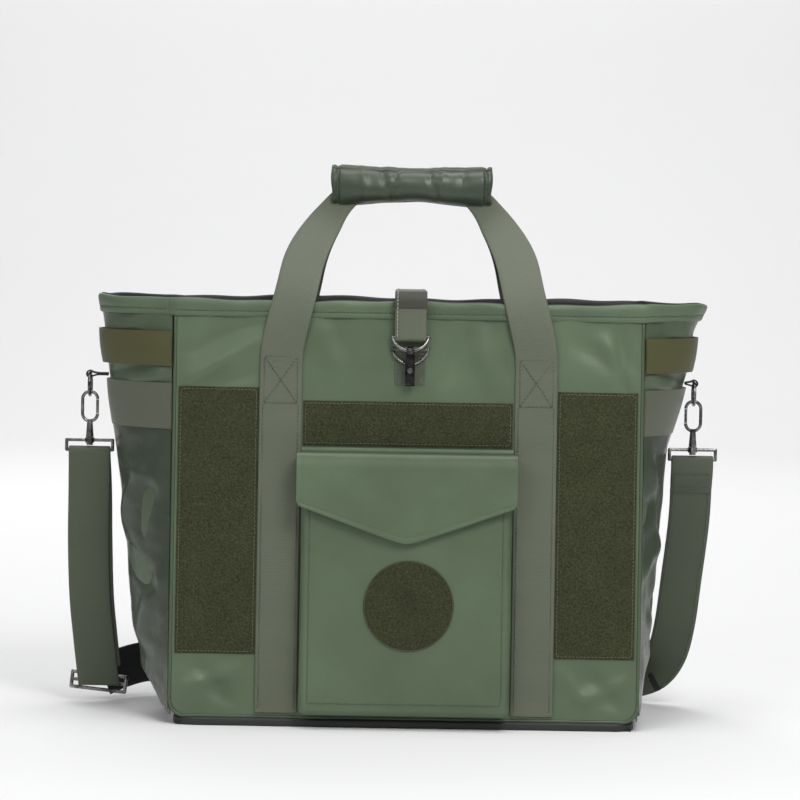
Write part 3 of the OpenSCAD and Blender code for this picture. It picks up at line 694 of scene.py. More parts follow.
def pocket_out(side, t, z):
    """How far a side pocket's cloth stands out of the gusset's curve."""
    y = t * half_depth(z)
    out = 0.0010 * ripple(y, z, 0.06, 40 + side) + 0.0004 * ripple(y, z, 0.02, 50 + side)
    for start, end, width, height in POCKET_FOLDS[side]:
        out = out + crease(y, z, start, end, width, height)
    out = out * calm(t) * seam_fade(t, z) * ease((0.266 - z) / 0.010) * ease((z - 0.012) / 0.014)
    return 0.0018 + out


def gusset_piece(name, side, z0, z1, out, thick, rows, cols=61, gap=0.0016):
    """Cloth over one gusset between two heights. out(side, t, z) gives its outer face."""
    z = np.linspace(z0, z1, rows)[:, None]
    t = np.linspace(-1, 1, cols)[None] * (1 - gap / half_depth(z))
    t, z = np.broadcast_arrays(t, z)
    points = on_gusset(side, t, z, out(side, t, z))
    run = t * np.hypot(half_depth(z), 1.15 * np.interp(z, *BULGE[side]))
    return cloth(name, points, mesh_uv(side * run, z), thick, side)


def build_shell():
    for back in (False, True):
        name = "back_panel" if back else "front_panel"
        finish_piece(panel_cloth(name + "_cloth", back), "bag", NYLON, [name])
    for side, word in ((-1, "left"), (1, "right")):
        gusset = gusset_piece(f"gusset_{word}_cloth", side, 0.009, HEM_Z, gusset_out, 0.0014, 150)
        # The gusset cloth takes the darker copy of the nylon: painted shade on the bag's sides.
        finish_piece(gusset, "bag", GUSSET_NYLON_PAINTED_SHADE, [f"gusset_{word}"])
        # The side pockets take the darkest copy of the nylon: painted shade.
        pocket = gusset_piece(f"side_pocket_{word}_cloth", side, 0.014, 0.2645, pocket_out, 0.0013, 130, 71,
                              0.0014)
        finish_piece(pocket, "bag", SIDE_POCKET_NYLON_PAINTED_SHADE, [f"side_pocket_{word}"])
        hem = gusset_piece(f"side_hem_{word}_tape", side, 0.263, 0.304,
                           lambda s, t, z: 0.0026 + 0.0004 * ripple(t * 0.08, z, 0.05, 60) * seam_fade(t, z)
                           + 0.0004 * np.cos((z - 0.2835) / 0.0205 * math.pi / 2), 0.0022, 24, 61, 0.0012)
        finish_piece(hem, "bag", HEM_TAPE, [f"side_hem_{word}"])
        band = gusset_piece(f"side_band_{word}_elastic", side, 0.319, 0.350,
                            lambda s, t, z: 0.0046 + 0.0008 * np.cos((z - 0.3345) / 0.0155 * math.pi / 2)
                            - 0.0012 * (1 - seam_fade(t, z)), 0.0022, 16, 61, 0.0010)
        finish_piece(band, "bag", ELASTIC, [f"side_band_{word}"])


# ---------- rim, piping and base ----------

RIM_STEP = 0.006


def rim_stations():
    """Places round the rim, anticlockwise from above: kind of side and the position along it."""
    across = np.linspace(-1, 1, int(2 * SEAM_X / RIM_STEP))
    around = np.linspace(-1, 1, 31)[1:-1]
    stations = [("front", x) for x in across] + [(1, t) for t in around]
    return stations + [("back", x) for x in across[::-1]] + [(-1, t) for t in around[::-1]]


def rim_point(station, out, z):
    kind, at = station
    if kind in ("front", "back"):
        return on_panel(at * (SEAM_X + 0.0006), z, out, kind == "back")
    return on_gusset(kind, at, z, out)


def build_rim():
    """The folded hem round the mouth: a padded band with a rolled top and two sewn grooves."""
    low, high, wavy_above = HEM_Z - 0.0006, BAG_H, 0.3725
    outline = [(-0.0034, low), (-0.0036, 0.373), (-0.0032, high - 0.0018), (-0.0018, high),
               (0.0004, high + 0.0002), (0.0017, high - 0.0016), (0.0020, 0.3755), (0.0018, 0.3715),
               (0.0010, 0.3700), (0.0016, 0.3684), (0.0013, low), (0.0, low - 0.0008)]
    inside = [(-0.0030, 0.3668), (-0.0044, 0.3670), (-0.0044, high - 0.0006), (-0.0032, high + 0.0008),
              (-0.0014, high + 0.0009), (-0.0016, high - 0.0010)]
    rings, uv, line, lining = [], [], [], []
    for k, station in enumerate(rim_stations()):
        wob = 0.0009 * math.sin(k * 0.31) + 0.0007 * math.sin(k * 0.83 + 1)
        rise = 0.0010 * math.sin(k * 0.17 + 2) + 0.0006 * math.sin(k * 0.59)
        for section, found in ((outline, rings), (inside, lining)):
            found.append([rim_point(station, out + wob, z + (rise if z > wavy_above else 0))
                          for out, z in section])
        uv += [(k * RIM_STEP, z + out) for out, z in outline]
        line.append(rim_point(station, 0.0013 + wob, 0.3700))
    rings = np.array(rings)
    finish_piece(tube_mesh("top_hem_cloth", rings, True, uv), "bag", NYLON, ["top_hem"])
    normal = unit((rings[:, 6] - rings.mean(axis=1)) * [1, 1, 0])
    sew("top_hem_stitches", [(np.array(line), normal)], THREAD)
    finish_piece(tube_mesh("top_hem_lining", np.array(lining), True), "bag", LINING)


def build_piping():
    for back in (False, True):
        corner, low, half = 0.014, 0.0082, SEAM_X + 0.0004
        turn = np.linspace(0, math.pi / 2, 9)
        route = [(-half, v) for v in np.linspace(0.3656, low + corner, 70)]
        route += [(-half + corner * (1 - math.cos(a)), low + corner * (1 - math.sin(a))) for a in turn]
        route += [(x, low) for x in np.linspace(-half + corner, half - corner, 80)][1:-1]
        route += [(half - corner * (1 - math.sin(a)), low + corner * (1 - math.cos(a))) for a in turn]
        route += [(half, v) for v in np.linspace(low + corner, 0.3656, 70)]
        route = np.array(route)
        wob = 0.0005 * ripple(route[:, 0], route[:, 1], 0.05, 70 + back)
        middle = on_panel(route[:, 0], route[:, 1], -0.0012 + wob, back)
        along = unit(np.gradient(middle, axis=0))
        normal = np.broadcast_to(panel_normal(back), along.shape)
        side = unit(np.cross(along, normal))
        rings = np.stack([middle + 0.0017 * (math.cos(a) * side + math.sin(a) * normal)
                          for a in np.arange(8) * math.pi / 4], 1)
        piece = tube_mesh("piping_back_cord" if back else "piping_front_cord", rings)
        finish_piece(piece, "bag", GUSSET_NYLON_PAINTED_SHADE, ["piping_back" if back else "piping_front"])


def round_rectangle(half_x, half_y, corner):
    out = []
    for k, (sx, sy) in enumerate(((1, 1), (-1, 1), (-1, -1), (1, -1))):
        for a in np.linspace(0, math.pi / 2, 9) + k * math.pi / 2:
            out.append((sx * (half_x - corner) + corner * math.cos(a),
                        sy * (half_y - corner) + corner * math.sin(a), 0))
    return np.array(out)


def build_base():
    """The rubbed black base: a bottom sheet and a bound edge all round it."""
    edge = resample(round_rectangle(0.2050, 0.0858, 0.016), 0.008)
    tangent = unit(np.roll(edge, -1, 0) - np.roll(edge, 1, 0))
    outward = np.cross(tangent, (0, 0, 1))
    section = [(-0.0012, 0.0004), (0.0010, 0.0002), (0.0014, 0.0018), (0.0013, 0.0056), (0.0004, 0.0070),
               (-0.0012, 0.0072)]
    rings = np.stack([edge + outward * o + np.array([0, 0, z]) for o, z in section], 1)
    finish_piece(tube_mesh("base_binding_tape", rings[:, ::-1], True), "bag", BINDING,
                 ["base_binding"])
    x, y = np.linspace(-0.2035, 0.2035, 60)[None], np.linspace(-0.0845, 0.0845, 30)[:, None]
    sag = 0.0002 + 0.0003 * (1 + ripple(x, y, 0.06, 80))
    points = np.stack(np.broadcast_arrays(x, y, sag), -1)
    bottom = cloth("base_panel_cloth", points, points[..., :2], -0.0014)
    finish_piece(bottom, "bag", LINING, ["base_panel"])


build_shell()
build_rim()
build_piping()
build_base()


# ---------- padding and lining inside ----------

def inner_layer(name, back, outer, thick):
    """A layer behind a panel's cloth that follows its waves; outer is its outer face's depth."""
    half = SEAM_X - 0.0034
    x, v = np.meshgrid(np.linspace(-half, half, 90), np.linspace(0.0165, HEM_Z - 0.002, 60))
    points = on_panel(x, v, panel_w(x, v, back) - outer, back)
    return cloth(name, points, mesh_uv(x, v), thick, -1 if back else 1)


def build_inside():
    foam = [inner_layer("foam", back, 0.0015, 0.0026) for back in (False, True)]
    finish_piece(join("panel_foam_sheets", foam), "bag", FOAM, ["panel_foam"])

    def behind(side, t, z):
        return gusset_out(side, t, z) - 0.0038 - 0.0016 * (1 + ripple(t * 0.08, z, 0.04, 90 + side))

    pieces = [inner_layer("lining", back, 0.0046, 0.0008) for back in (False, True)]
    pieces += [gusset_piece("lining_side", side, 0.010, HEM_Z - 0.001, behind, 0.0008, 90)
               for side in (-1, 1)]
    x, y = np.linspace(-0.203, 0.203, 80)[None], np.linspace(-0.078, 0.078, 40)[:, None]
    z = 0.0056 + 0.0004 * (1 + ripple(x, y, 0.05, 95))
    points = np.stack(np.broadcast_arrays(x, y, z), -1)
    pieces.append(cloth("lining_floor", points, points[..., :2], 0.0008))
    finish_piece(join("lining_cloth", pieces), "bag", LINING, ["lining"])


def soft_box(name, low, high, place, levels):
    """A padded slab between two corners given as (x, v, w), with puffed faces and round edges."""
    low, high = np.array(low), np.array(high)
    size = high - low
    cols, rows = levels
    u, v = np.meshgrid(np.linspace(-1, 1, cols), np.linspace(-1, 1, rows))
    swell = (1 - np.abs(u) ** 6) * (1 - np.abs(v) ** 8)
    quilt = 0.12 * np.cos(u * math.pi * 5) * swell
    x = (low[0] + high[0]) / 2 + u * size[0] / 2
    y = (low[1] + high[1]) / 2 + v * size[1] / 2
    middle = (low[2] + high[2]) / 2
    depth = size[2] / 2 * (0.35 + (0.65 - abs(quilt)) * swell)
    return slab(name, place(x, y, middle + depth), place(x, y, middle - depth), mesh_uv(x, y))


def build_sleeve():
    """The padded laptop pocket on the back wall, with its bound top edge."""
    pad = soft_box("laptop_sleeve_pad", (-0.190, 0.010, -0.0378), (0.190, 0.270, -0.0318),
                   lambda x, v, w: on_panel(x, v, w, True), (90, 60))
    walls = []
    for side in (-1, 1):
        w, v = np.meshgrid(np.linspace(-0.0325, -0.0062, 8), np.linspace(0.012, 0.268, 40))
        fold = 0.188 + 0.0022 * np.sin((w + 0.0325) / 0.0263 * math.pi) * np.cos(v * 40)
        points = on_panel(side * fold, v, w, True)
        walls.append(cloth("sleeve_side", points, mesh_uv(w, v), 0.0012, side))
    pad = join("laptop_sleeve_pad", [pad] + walls)
    finish_piece(pad, "bag", PADDED_LINING, ["laptop_sleeve"])
    route = on_panel(np.linspace(-0.190, 0.190, 60), 0.270, -0.0348, True)
    trim = strap("laptop_sleeve_trim", route, (0, 0, 1), (0, 1, 0), 0.009, 0.0068, columns=2)
    finish_piece(trim, "bag", BLACK_WEB)


# ---------- loop panels and patches ----------

def pile_height(x, v, seed):
    rng = np.random.default_rng(seed)
    return rng.uniform(-1, 1, np.broadcast(x, v).shape)


def pile_panel(name, x0, x1, v0, v1, w0, thick, seed, surface, step=0.0016):
    """A rectangle of loop pile with an uneven top, its edges pressed down by the seam."""
    cols, rows = int((x1 - x0) / step), int((v1 - v0) / step)
    x, v = np.meshgrid(np.linspace(x0, x1, cols), np.linspace(v0, v1, rows))
    rim = np.minimum.reduce([x - x0, x1 - x, v - v0, v1 - v])
    body = ease(rim / 0.0035)
    w = surface(x, v) + w0 + thick * (0.5 + 0.5 * body) + 0.00028 * pile_height(x, v, seed) * body
    return cloth(name, on_panel(x, v, w), mesh_uv(x, v), thick + 0.0004)


def frame_line(x0, x1, v0, v1, inset):
    x0, x1, v0, v1 = x0 + inset, x1 - inset, v0 + inset, v1 - inset
    return resample([(x0, v0), (x1, v0), (x1, v1), (x0, v1), (x0, v0)], SEW_STEP).T


def build_pile():
    lines = []
    for name, x0, x1, v0, v1 in (("loop_panel_left", -0.2050, -0.1334, 0.064, 0.302),
                                 ("loop_panel_right", 0.1334, 0.2050, 0.064, 0.302),
                                 ("loop_panel_center", -0.0935, 0.0935, 0.251, 0.291)):
        piece = pile_panel(name + "_pile", x0, x1, v0, v1, 0.0001, 0.0015, 5, panel_w)
        finish_piece(piece, "bag", PILE, [name])
        x, v = frame_line(x0, x1, v0, v1, 0.0022)
        lines.append((on_panel(x, v, panel_w(x, v) + 0.0013), panel_normal()))
    sew("loop_panel_stitches", lines, THREAD_OLIVE)


build_inside()
build_sleeve()
build_pile()


# ---------- front pocket ----------

POCKET_HALF = POCKET_W / 2
FLAP_BEND = POCKET_HIGH - 0.0005     # where the flap turns from the roof to its face
FLAP_SIDE = POCKET_HIGH - 0.044
FLAP_POINT = POCKET_HIGH - 0.079
FLAP_HALF = 0.098


def pocket_w(x, v):
    """The face of the front pocket: full in the middle, rolled back along its sides and foot."""
    rim = np.minimum(POCKET_HALF - np.abs(x), v - POCKET_LOW)
    roll = np.clip(1 - rim / 0.0055, 0, 1)
    swell = np.cos(x / POCKET_HALF * math.pi / 2) * np.sin(np.clip((v - 0.012) / 0.24, 0, 1) * math.pi)
    seam = np.exp(-((rim - 0.0075) / 0.0010) ** 2)
    w = 0.0196 + 0.0016 * swell + 0.0006 * ripple(x, v, 0.09, 100) + 0.00025 * ripple(x, v, 0.03, 101)
    w = w + crease(x, v, (-0.090, 0.075), (-0.030, 0.120), 0.010, 0.0012)
    w = w + crease(x, v, (0.086, 0.030), (0.050, 0.080), 0.009, 0.0010)
    return w - 0.0050 * roll ** 2.2 - 0.0006 * seam


def build_pocket():
    x = np.linspace(-1, 1, 120)[None]
    v = np.linspace(POCKET_LOW, 0.235, 130)[:, None]
    corner = 0.007
    rise = np.clip(corner - (v - POCKET_LOW), 0, corner)
    x = x * (POCKET_HALF - corner + np.sqrt(corner ** 2 - rise ** 2))
    x, v = np.broadcast_arrays(x, v)
    face = cloth("pocket_front_cloth", on_panel(x, v, pocket_w(x, v)), mesh_uv(x, v), 0.0012)
    finish_piece(face, "bag", NYLON, ["pocket_front"])
    walls = []
    for side in (-1, 1):
        w, v = np.meshgrid(np.linspace(0.0006, 0.0160, 20), np.linspace(0.016, 0.2335, 90))
        fold = 0.0925 - 0.0060 * np.sin((w - 0.0006) / 0.0154 * math.pi) + 0.0008 * ripple(w, v, 0.05, 102)
        walls.append(cloth("bellows", on_panel(side * fold, v, w), mesh_uv(w, v), 0.001, side))
    w, x = np.meshgrid(np.linspace(0.0006, 0.0150, 16), np.linspace(-0.090, 0.090, 80))
    dip = 0.0175 + 0.0030 * np.sin((w - 0.0006) / 0.0144 * math.pi)
    walls.append(cloth("bellows_floor", on_panel(x, dip, w), mesh_uv(x, w), 0.001))
    finish_piece(join("pocket_bellows", walls), "bag", GUSSET_NYLON_PAINTED_SHADE, ["pocket_gusset"])
    half, low, high = POCKET_HALF - 0.0075, POCKET_LOW + 0.0105, 0.232
    x, v = resample([(-half, high), (-half, low), (half, low), (half, high)], SEW_STEP).T
    sew("pocket_stitches", [(on_panel(x, v, pocket_w(x, v) + 0.0002), panel_normal())], THREAD)


def flap_foot(x):
    """The lower edge of the flap: straight down to its sides, then slanting to a blunt point."""
    slope = (FLAP_SIDE - FLAP_POINT) / FLAP_HALF
    foot = FLAP_POINT + slope * (np.sqrt(x * x + 0.006 ** 2) - 0.002)
    corner = np.clip((np.abs(x) - 0.094) / 0.004, 0, 1)
    return foot + 0.004 * (1 - np.sqrt(1 - corner ** 2 * 0.98))


def flap_w(x, down):
    w = 0.0240 + 0.0014 * ease(down / 0.01)
    w = w + 0.0010 * np.cos(x / FLAP_HALF * math.pi / 2) * ease(down / 0.04)
    w = w + 0.0007 * ripple(x, down, 0.08, 110) * ease(down / 0.02)
    return w + crease(x, down, (-0.080, 0.010), (-0.020, 0.060), 0.012, 0.0009)


def build_flap():
    """The flap with its sewn edge and roof, one cloth that folds along the pocket's top."""
    s = np.linspace(-1, 1, 121)
    rows = []
    for v, w, half in ((0.2482, 0.0010, 0.0946), (0.2478, 0.0018, 0.0946), (0.2450, 0.0019, 0.0946),
                       (0.2436, 0.0026, 0.0948), (0.2434, 0.0060, 0.0955), (0.2436, 0.0120, 0.0968),
                       (0.2436, 0.0180, 0.0976), (0.2434, 0.0212, 0.0978), (0.2428, 0.0230, 0.0979)):
        sag = 0.0012 * np.sin(np.clip((w - 0.003) / 0.019, 0, 1) * math.pi)
        rows.append((s * half, np.full(121, v - sag), np.full(121, w)))
    for r in np.linspace(0.012, 1, 56):
        x = s * FLAP_HALF
        down = r * (FLAP_BEND - flap_foot(x))
        edge = np.minimum((1 - r) * 0.06, (1 - np.abs(s)) * FLAP_HALF)
        groove = 0.0005 * np.exp(-((edge - 0.004) / 0.001) ** 2)
        rows.append((x, FLAP_BEND - down, flap_w(x, down) - groove))
    x, v, w = (np.array([row[k] for row in rows]) for k in range(3))
    run = lengths(np.stack([v[:, 60], w[:, 60]], 1))
    flap = cloth("pocket_flap_cloth", on_panel(x, v, w), mesh_uv(x, run[:, None]), 0.0016)
    inset = 0.0040
    half, high = FLAP_HALF - inset, 0.2360
    path = [(-half, high)] + [(a, flap_foot(a) + inset) for a in np.linspace(-half, half, 60)]
    x, v = resample(path + [(half, high)], SEW_STEP).T
    sewn = on_panel(x, v, flap_w(x, FLAP_BEND - v) + 0.0001)
    thread_lines = stitches("flap_stitches", [(sewn, panel_normal())])
    start = on_panel(0.0, 0.2436, 0.0160)
    end = on_panel(0.0, 0.2390, 0.0240)
    for piece, slot, material, nodes in ((flap, "coated_nylon", NYLON, ["pocket_flap", "pocket_fold"]),
                                         (thread_lines, "webbing", THREAD, [])):
        finish_piece(piece, None, material, nodes)
        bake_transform(piece)
    line = on_panel(np.linspace(-0.092, 0.092, 70), 0.2463, 0.0020)
    sew("flap_seam_stitches", [(line, panel_normal())], THREAD)


def build_fastener_strips():
    for name, w0, body in (("pocket_loop_strips", 0.0206, "bag"), ("pocket_hook_strips", 0.0224, "flap")):
        strips = [pile_panel("strip", x, x + 0.040, 0.205, 0.225, w0, 0.0008, 9, lambda a, b: 0 * a, 0.0012)
                  for x in (-0.062, 0.022)]
        finish_piece(join(name + "_pile", strips), body, PILE, [name])


def build_round_patch():
    cx, cv, radius = 0.003, 0.110, 0.040
    r, a = np.meshgrid(np.linspace(0.0004, radius, 60), np.linspace(0, 2 * math.pi, 161), indexing="ij")
    x, v = cx + r * np.cos(a), cv + r * np.sin(a)
    rough = pile_height(r, a, 21)
    rough[:, -1] = rough[:, 0]
    body = ease((radius - r) / 0.003)
    w = pocket_w(x, v) + 0.0002 + 0.0015 * (0.5 + 0.5 * body) + 0.00030 * rough * body * ease(r / 0.006)
    rings = np.concatenate([on_panel(x, v, w), on_panel(x, v, pocket_w(x, v) - 0.0002)[::-1]])
    uv = np.concatenate([mesh_uv(x, v), mesh_uv(x, v)[::-1]])
    patch = tube_mesh("loop_patch_round_pile", rings[:, :-1], uv=uv[:, :-1].reshape(-1, 2))
    finish_piece(patch, "bag", PILE, ["loop_patch_round"])
    turn = np.linspace(0, 2 * math.pi, 360)
    zigzag = radius - 0.0012 + 0.0010 * (np.arange(360) % 2)
    x, v = cx + zigzag * np.cos(turn), cv + zigzag * np.sin(turn)
    sewn = [(on_panel(x, v, pocket_w(x, v) + 0.0014), panel_normal())]
    sew("round_patch_stitches", sewn, THREAD_OLIVE, pitch=0.0012, radius=0.0003)


build_pocket()
build_flap()
build_fastener_strips()
build_round_patch()


# ---------- handles ----------

GRIP_Y, LEG_LEAN, BEND_R, GRIP_WEB = 0.005, math.radians(42), 0.030, 0.020
GRIP_L, GRIP_SEAM_X = 0.1470, 0.0672
LEG_L = (FOLD_Y - GRIP_Y - BEND_R * (1 - math.cos(LEG_LEAN))) / math.sin(LEG_LEAN)
BEND_L = BEND_R * LEG_LEAN
BEND_TOP = FOLD_Z + LEG_L * math.cos(LEG_LEAN) + BEND_R * math.sin(LEG_LEAN)
GRIP_Q = LEG_L + BEND_L + GRIP_Z - BEND_TOP


def handle_place(u, q):
    """A point of a handle's middle surface and its outward normal, u across and q from the fold."""
    a = LEG_LEAN if q < LEG_L else max(LEG_LEAN - (q - LEG_L) / BEND_R, 0)
    leg, rest = min(q, LEG_L), max(q - LEG_L - BEND_L, 0)
    y = leg * math.sin(LEG_LEAN) + BEND_R * (math.cos(a) - math.cos(LEG_LEAN))
    z = leg * math.cos(LEG_LEAN) + BEND_R * (math.sin(LEG_LEAN) - math.sin(a)) + rest
    return np.array([u, y - FOLD_Y, FOLD_Z + z]), np.array([0, -math.cos(a), math.sin(a)])


def handle_path(back):
    """The whole of one handle's webbing, from its foot on the left to its foot on the right."""
    arch = [(-FOLD_X + 0.0035, -0.006, WEB_W), (-FOLD_X + 0.006, 0.024, WEB_W), (-0.0950, 0.046, WEB_W),
            (-0.0880, 0.067, 0.036), (-0.0790, 0.085, 0.032), (-0.070, 0.099, 0.026),
            (-0.058, GRIP_Q - 0.007, 0.023), (-0.044, GRIP_Q - 0.001, 0.022),
            (-0.022, GRIP_Q, GRIP_WEB), (0, GRIP_Q, GRIP_WEB)]
    halves = []
    for side in (-1, 1):
        stations = []
        for v in np.linspace(0.0125, 0.352, 110):
            x = side * (LEG_X - (LEG_X - FOLD_X) * 0.62 * ease((v - SEWN_H) / 0.07))
            lift = 0.0013 + 0.0022 * ease((v - SEWN_H) / 0.02)
            stations.append((on_panel(x, v, panel_w(x, v, back) + lift), panel_normal(), WEB_W))
        stations += [(*handle_place(-side * u, q), width) for u, q, width in smooth_route(arch, 6)]
        halves.append([np.array(values) for values in zip(*stations)])
    middle, out, widths = (np.concatenate([a, b[-2::-1]]) for a, b in zip(*halves))
    for _ in range(24):
        soft = (middle[:-2] + 2 * middle[1:-1] + middle[2:]) / 4
        middle[100:-100] = soft[99:-99]
        out[1:-1] = (out[:-2] + 2 * out[1:-1] + out[2:]) / 4
    along = unit(np.gradient(middle, axis=0))
    out = unit(out - along * np.sum(out * along, axis=1, keepdims=True))
    return middle, unit(np.cross(out, along)), out, widths


def box_stitches(x, back):
    """The crossed square that holds one webbing to the panel, and the lines along its edges."""
    half, low, high = 0.0148, 0.2885, SEWN_H - 0.001
    corners = [(x - half, low), (x + half, low), (x + half, high), (x - half, high)]
    lines = [resample([corners[a], corners[b]], SEW_STEP).T
             for a, b in ((0, 1), (1, 2), (2, 3), (3, 0), (0, 2), (1, 3))]
    lines += [(np.full(90, x + edge), np.linspace(0.016, low, 90)) for edge in (-0.0158, 0.0158)]
    return [(on_panel(a, b, panel_w(a, b, back) + 0.0025), panel_normal()) for a, b in lines]


def build_handles():
    """Both handles, worked out on the front panel; the back one is mirrored across the bag."""
    for back, word in ((False, "front"), (True, "back")):
        flip = np.array([1, -1 if back else 1, 1])
        middle, across, out, widths = handle_path(back)
        middle, across, out = middle * flip, across * flip, out * flip
        web = strap(f"handle_{word}_webbing", middle, across, out, WEB_W, 0.0021, 10, widths)
        free = slice(118, -118)         # the part above the rim
        lining = strap(f"handle_{word}_backing", middle[free] - out[free] * 0.0016, across[free], out[free],
                       WEB_W - 0.002, 0.0010, 4, widths[free] - 0.002)
        nodes = [f"strap_{word}_left", f"strap_{word}_right", f"handle_{word}"]
        for piece, slot, material, names in ((web, "webbing", WEBBING, nodes),
                                             (lining, "webbing", BLACK_WEB, [])):
            finish_piece(piece, None, material, names)
            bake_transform(piece)
        lines = [(points * flip, normal * flip) for points, normal in
                 box_stitches(-LEG_X, back) + box_stitches(LEG_X, back)]
        sew(f"strap_{word}_stitches", lines, THREAD_WEB)


# ---------- padded grip ----------

def half_shell(name, first, last, radius, thick, length):
    """A closed slab bent round the grip between two angles, measured from the top to the front."""
    angles = np.radians(np.linspace(first, last, 30))
    a, x = np.meshgrid(angles, np.linspace(-length / 2, length / 2, 46), indexing="ij")

    def at(r):
        flat = 0.94 + 0.06 * np.abs(np.cos(a))
        return np.stack([x, -r * flat * np.sin(a), GRIP_Z + r * np.cos(a)], -1)

    return slab(name, at(radius), at(radius - thick))


def vertex_places(piece):
    co = np.zeros(len(piece.data.vertices) * 3)
    piece.data.vertices.foreach_get("co", co)
    return co.reshape(-1, 3)


def puff(piece, pressure, cap):
    """Swells a closed slab with a cloth simulation. No point moves further than the cap."""
    bpy.context.view_layer.objects.active = piece
    remesh = piece.modifiers.new("remesh", "REMESH")
    remesh.mode, remesh.voxel_size = "VOXEL", 0.0034
    bpy.ops.object.modifier_apply(modifier=remesh.name)
    before = vertex_places(piece)
    cloth_mod = piece.modifiers.new("cloth", "CLOTH")
    settings = cloth_mod.settings
    settings.quality = 6
    settings.mass = 0.2
    settings.tension_stiffness = settings.compression_stiffness = 12
    settings.bending_stiffness = 0.4
    settings.use_pressure = True
    settings.uniform_pressure_force = pressure
    settings.effector_weights.gravity = 0
    settings.shrink_min = -0.03
    for number in range(1, 19):
        bpy.context.scene.frame_set(number)
    shaped = piece.evaluated_get(bpy.context.evaluated_depsgraph_get()).to_mesh()
    after = np.zeros(before.size)
    shaped.vertices.foreach_get("co", after)
    piece.modifiers.remove(cloth_mod)
    bpy.context.scene.frame_set(1)
    move = after.reshape(-1, 3) - before
    size = np.linalg.norm(move, axis=1, keepdims=True)
    before = before + move * np.minimum(1, cap / np.maximum(size, 1e-9))
    piece.data.vertices.foreach_set("co", before.ravel())
    smooth = piece.modifiers.new("smooth", "SMOOTH")
    smooth.factor, smooth.iterations = 0.5, 3
    bpy.ops.object.modifier_apply(modifier=smooth.name)
    subsurf = piece.modifiers.new("subsurf", "SUBSURF")
    subsurf.levels = subsurf.render_levels = 1
    bpy.ops.object.modifier_apply(modifier=subsurf.name)


def wrinkle_grip(piece, radius, seed):
    """Creases across the grip, pulled in at its two sewn ends."""
    co = vertex_places(piece)
    y, z = co[:, 1], co[:, 2] - GRIP_Z
    r = np.hypot(y, z)
    angle = np.arctan2(-y, z)
    skin = ease((r - radius + 0.004) / 0.003)
    dent = 0.0005 * ripple(co[:, 0], angle * 0.018, 0.034, seed)
    for x0, x1, width, height in ((-0.030, -0.018, 0.0035, -0.0016), (-0.012, -0.020, 0.003, -0.0012),
                                  (0.012, 0.026, 0.0035, -0.0014), (0.030, 0.024, 0.003, 0.0010),
                                  (-0.046, -0.040, 0.004, 0.0010), (0.048, 0.044, 0.004, -0.0010)):
        dent = dent + crease(co[:, 0], angle * 0.018, (x0, -0.005), (x1, 0.055), width, height)
    for x in (-GRIP_SEAM_X, GRIP_SEAM_X):
        dent = dent - 0.0015 * np.exp(-((co[:, 0] - x) / 0.0016) ** 2)
    scale = 1 + dent * skin / np.maximum(r, 1e-6)
    waist = np.cos(co[:, 0] / GRIP_L * math.pi) ** 2 * np.where(z < 0, 0.0055, 0.0026)
    co[:, 1], co[:, 2] = y * scale, GRIP_Z + z * scale - np.sin(z / radius) * waist
    piece.data.vertices.foreach_set("co", co.ravel())
    piece.data.update()


def build_grip():
    for name, first, last, radius, body, seed in (
            ("handle_wrap", -8, 186, 0.0166, "front_handle", 120),
            ("handle_wrap_flap", 34, -176, 0.0182, "wrap_flap", 121)):
        piece = half_shell(name + "_pad", first, last, radius, 0.0038, GRIP_L)
        puff(piece, 5.0, 0.0022)
        wrinkle_grip(piece, radius, seed)
        # The wrap's darker copy of the nylon is painted shade.
        finish_piece(piece, body, WRAP_NYLON_PAINTED_SHADE, [name])
    a = np.radians(np.linspace(36, 178, 40))
    normal = np.stack([0 * a, -np.sin(a), np.cos(a)], 1)
    lines = [(normal * 0.0172 * [1, 0.95, 1] + np.array([x, 0, GRIP_Z]), normal)
             for x in (-GRIP_SEAM_X, GRIP_SEAM_X)]
    sew("handle_wrap_stitches", lines, THREAD, "front_handle")


build_handles()
build_grip()


# ---------- closure over the mouth ----------

CLOSURE_X, CLOSURE_W, EYE_Z, EYE_Y = 0.001, 0.028, 0.348, -0.0681


def plane_route(points):
    """A smooth route in the closure's plane, from (y, z) pairs, with its outward normals."""
    route = smooth_route([(CLOSURE_X, y, z) for y, z in points], 5)
    along = unit(np.gradient(route, axis=0))
    return route, unit(np.cross(along, (1, 0, 0)))


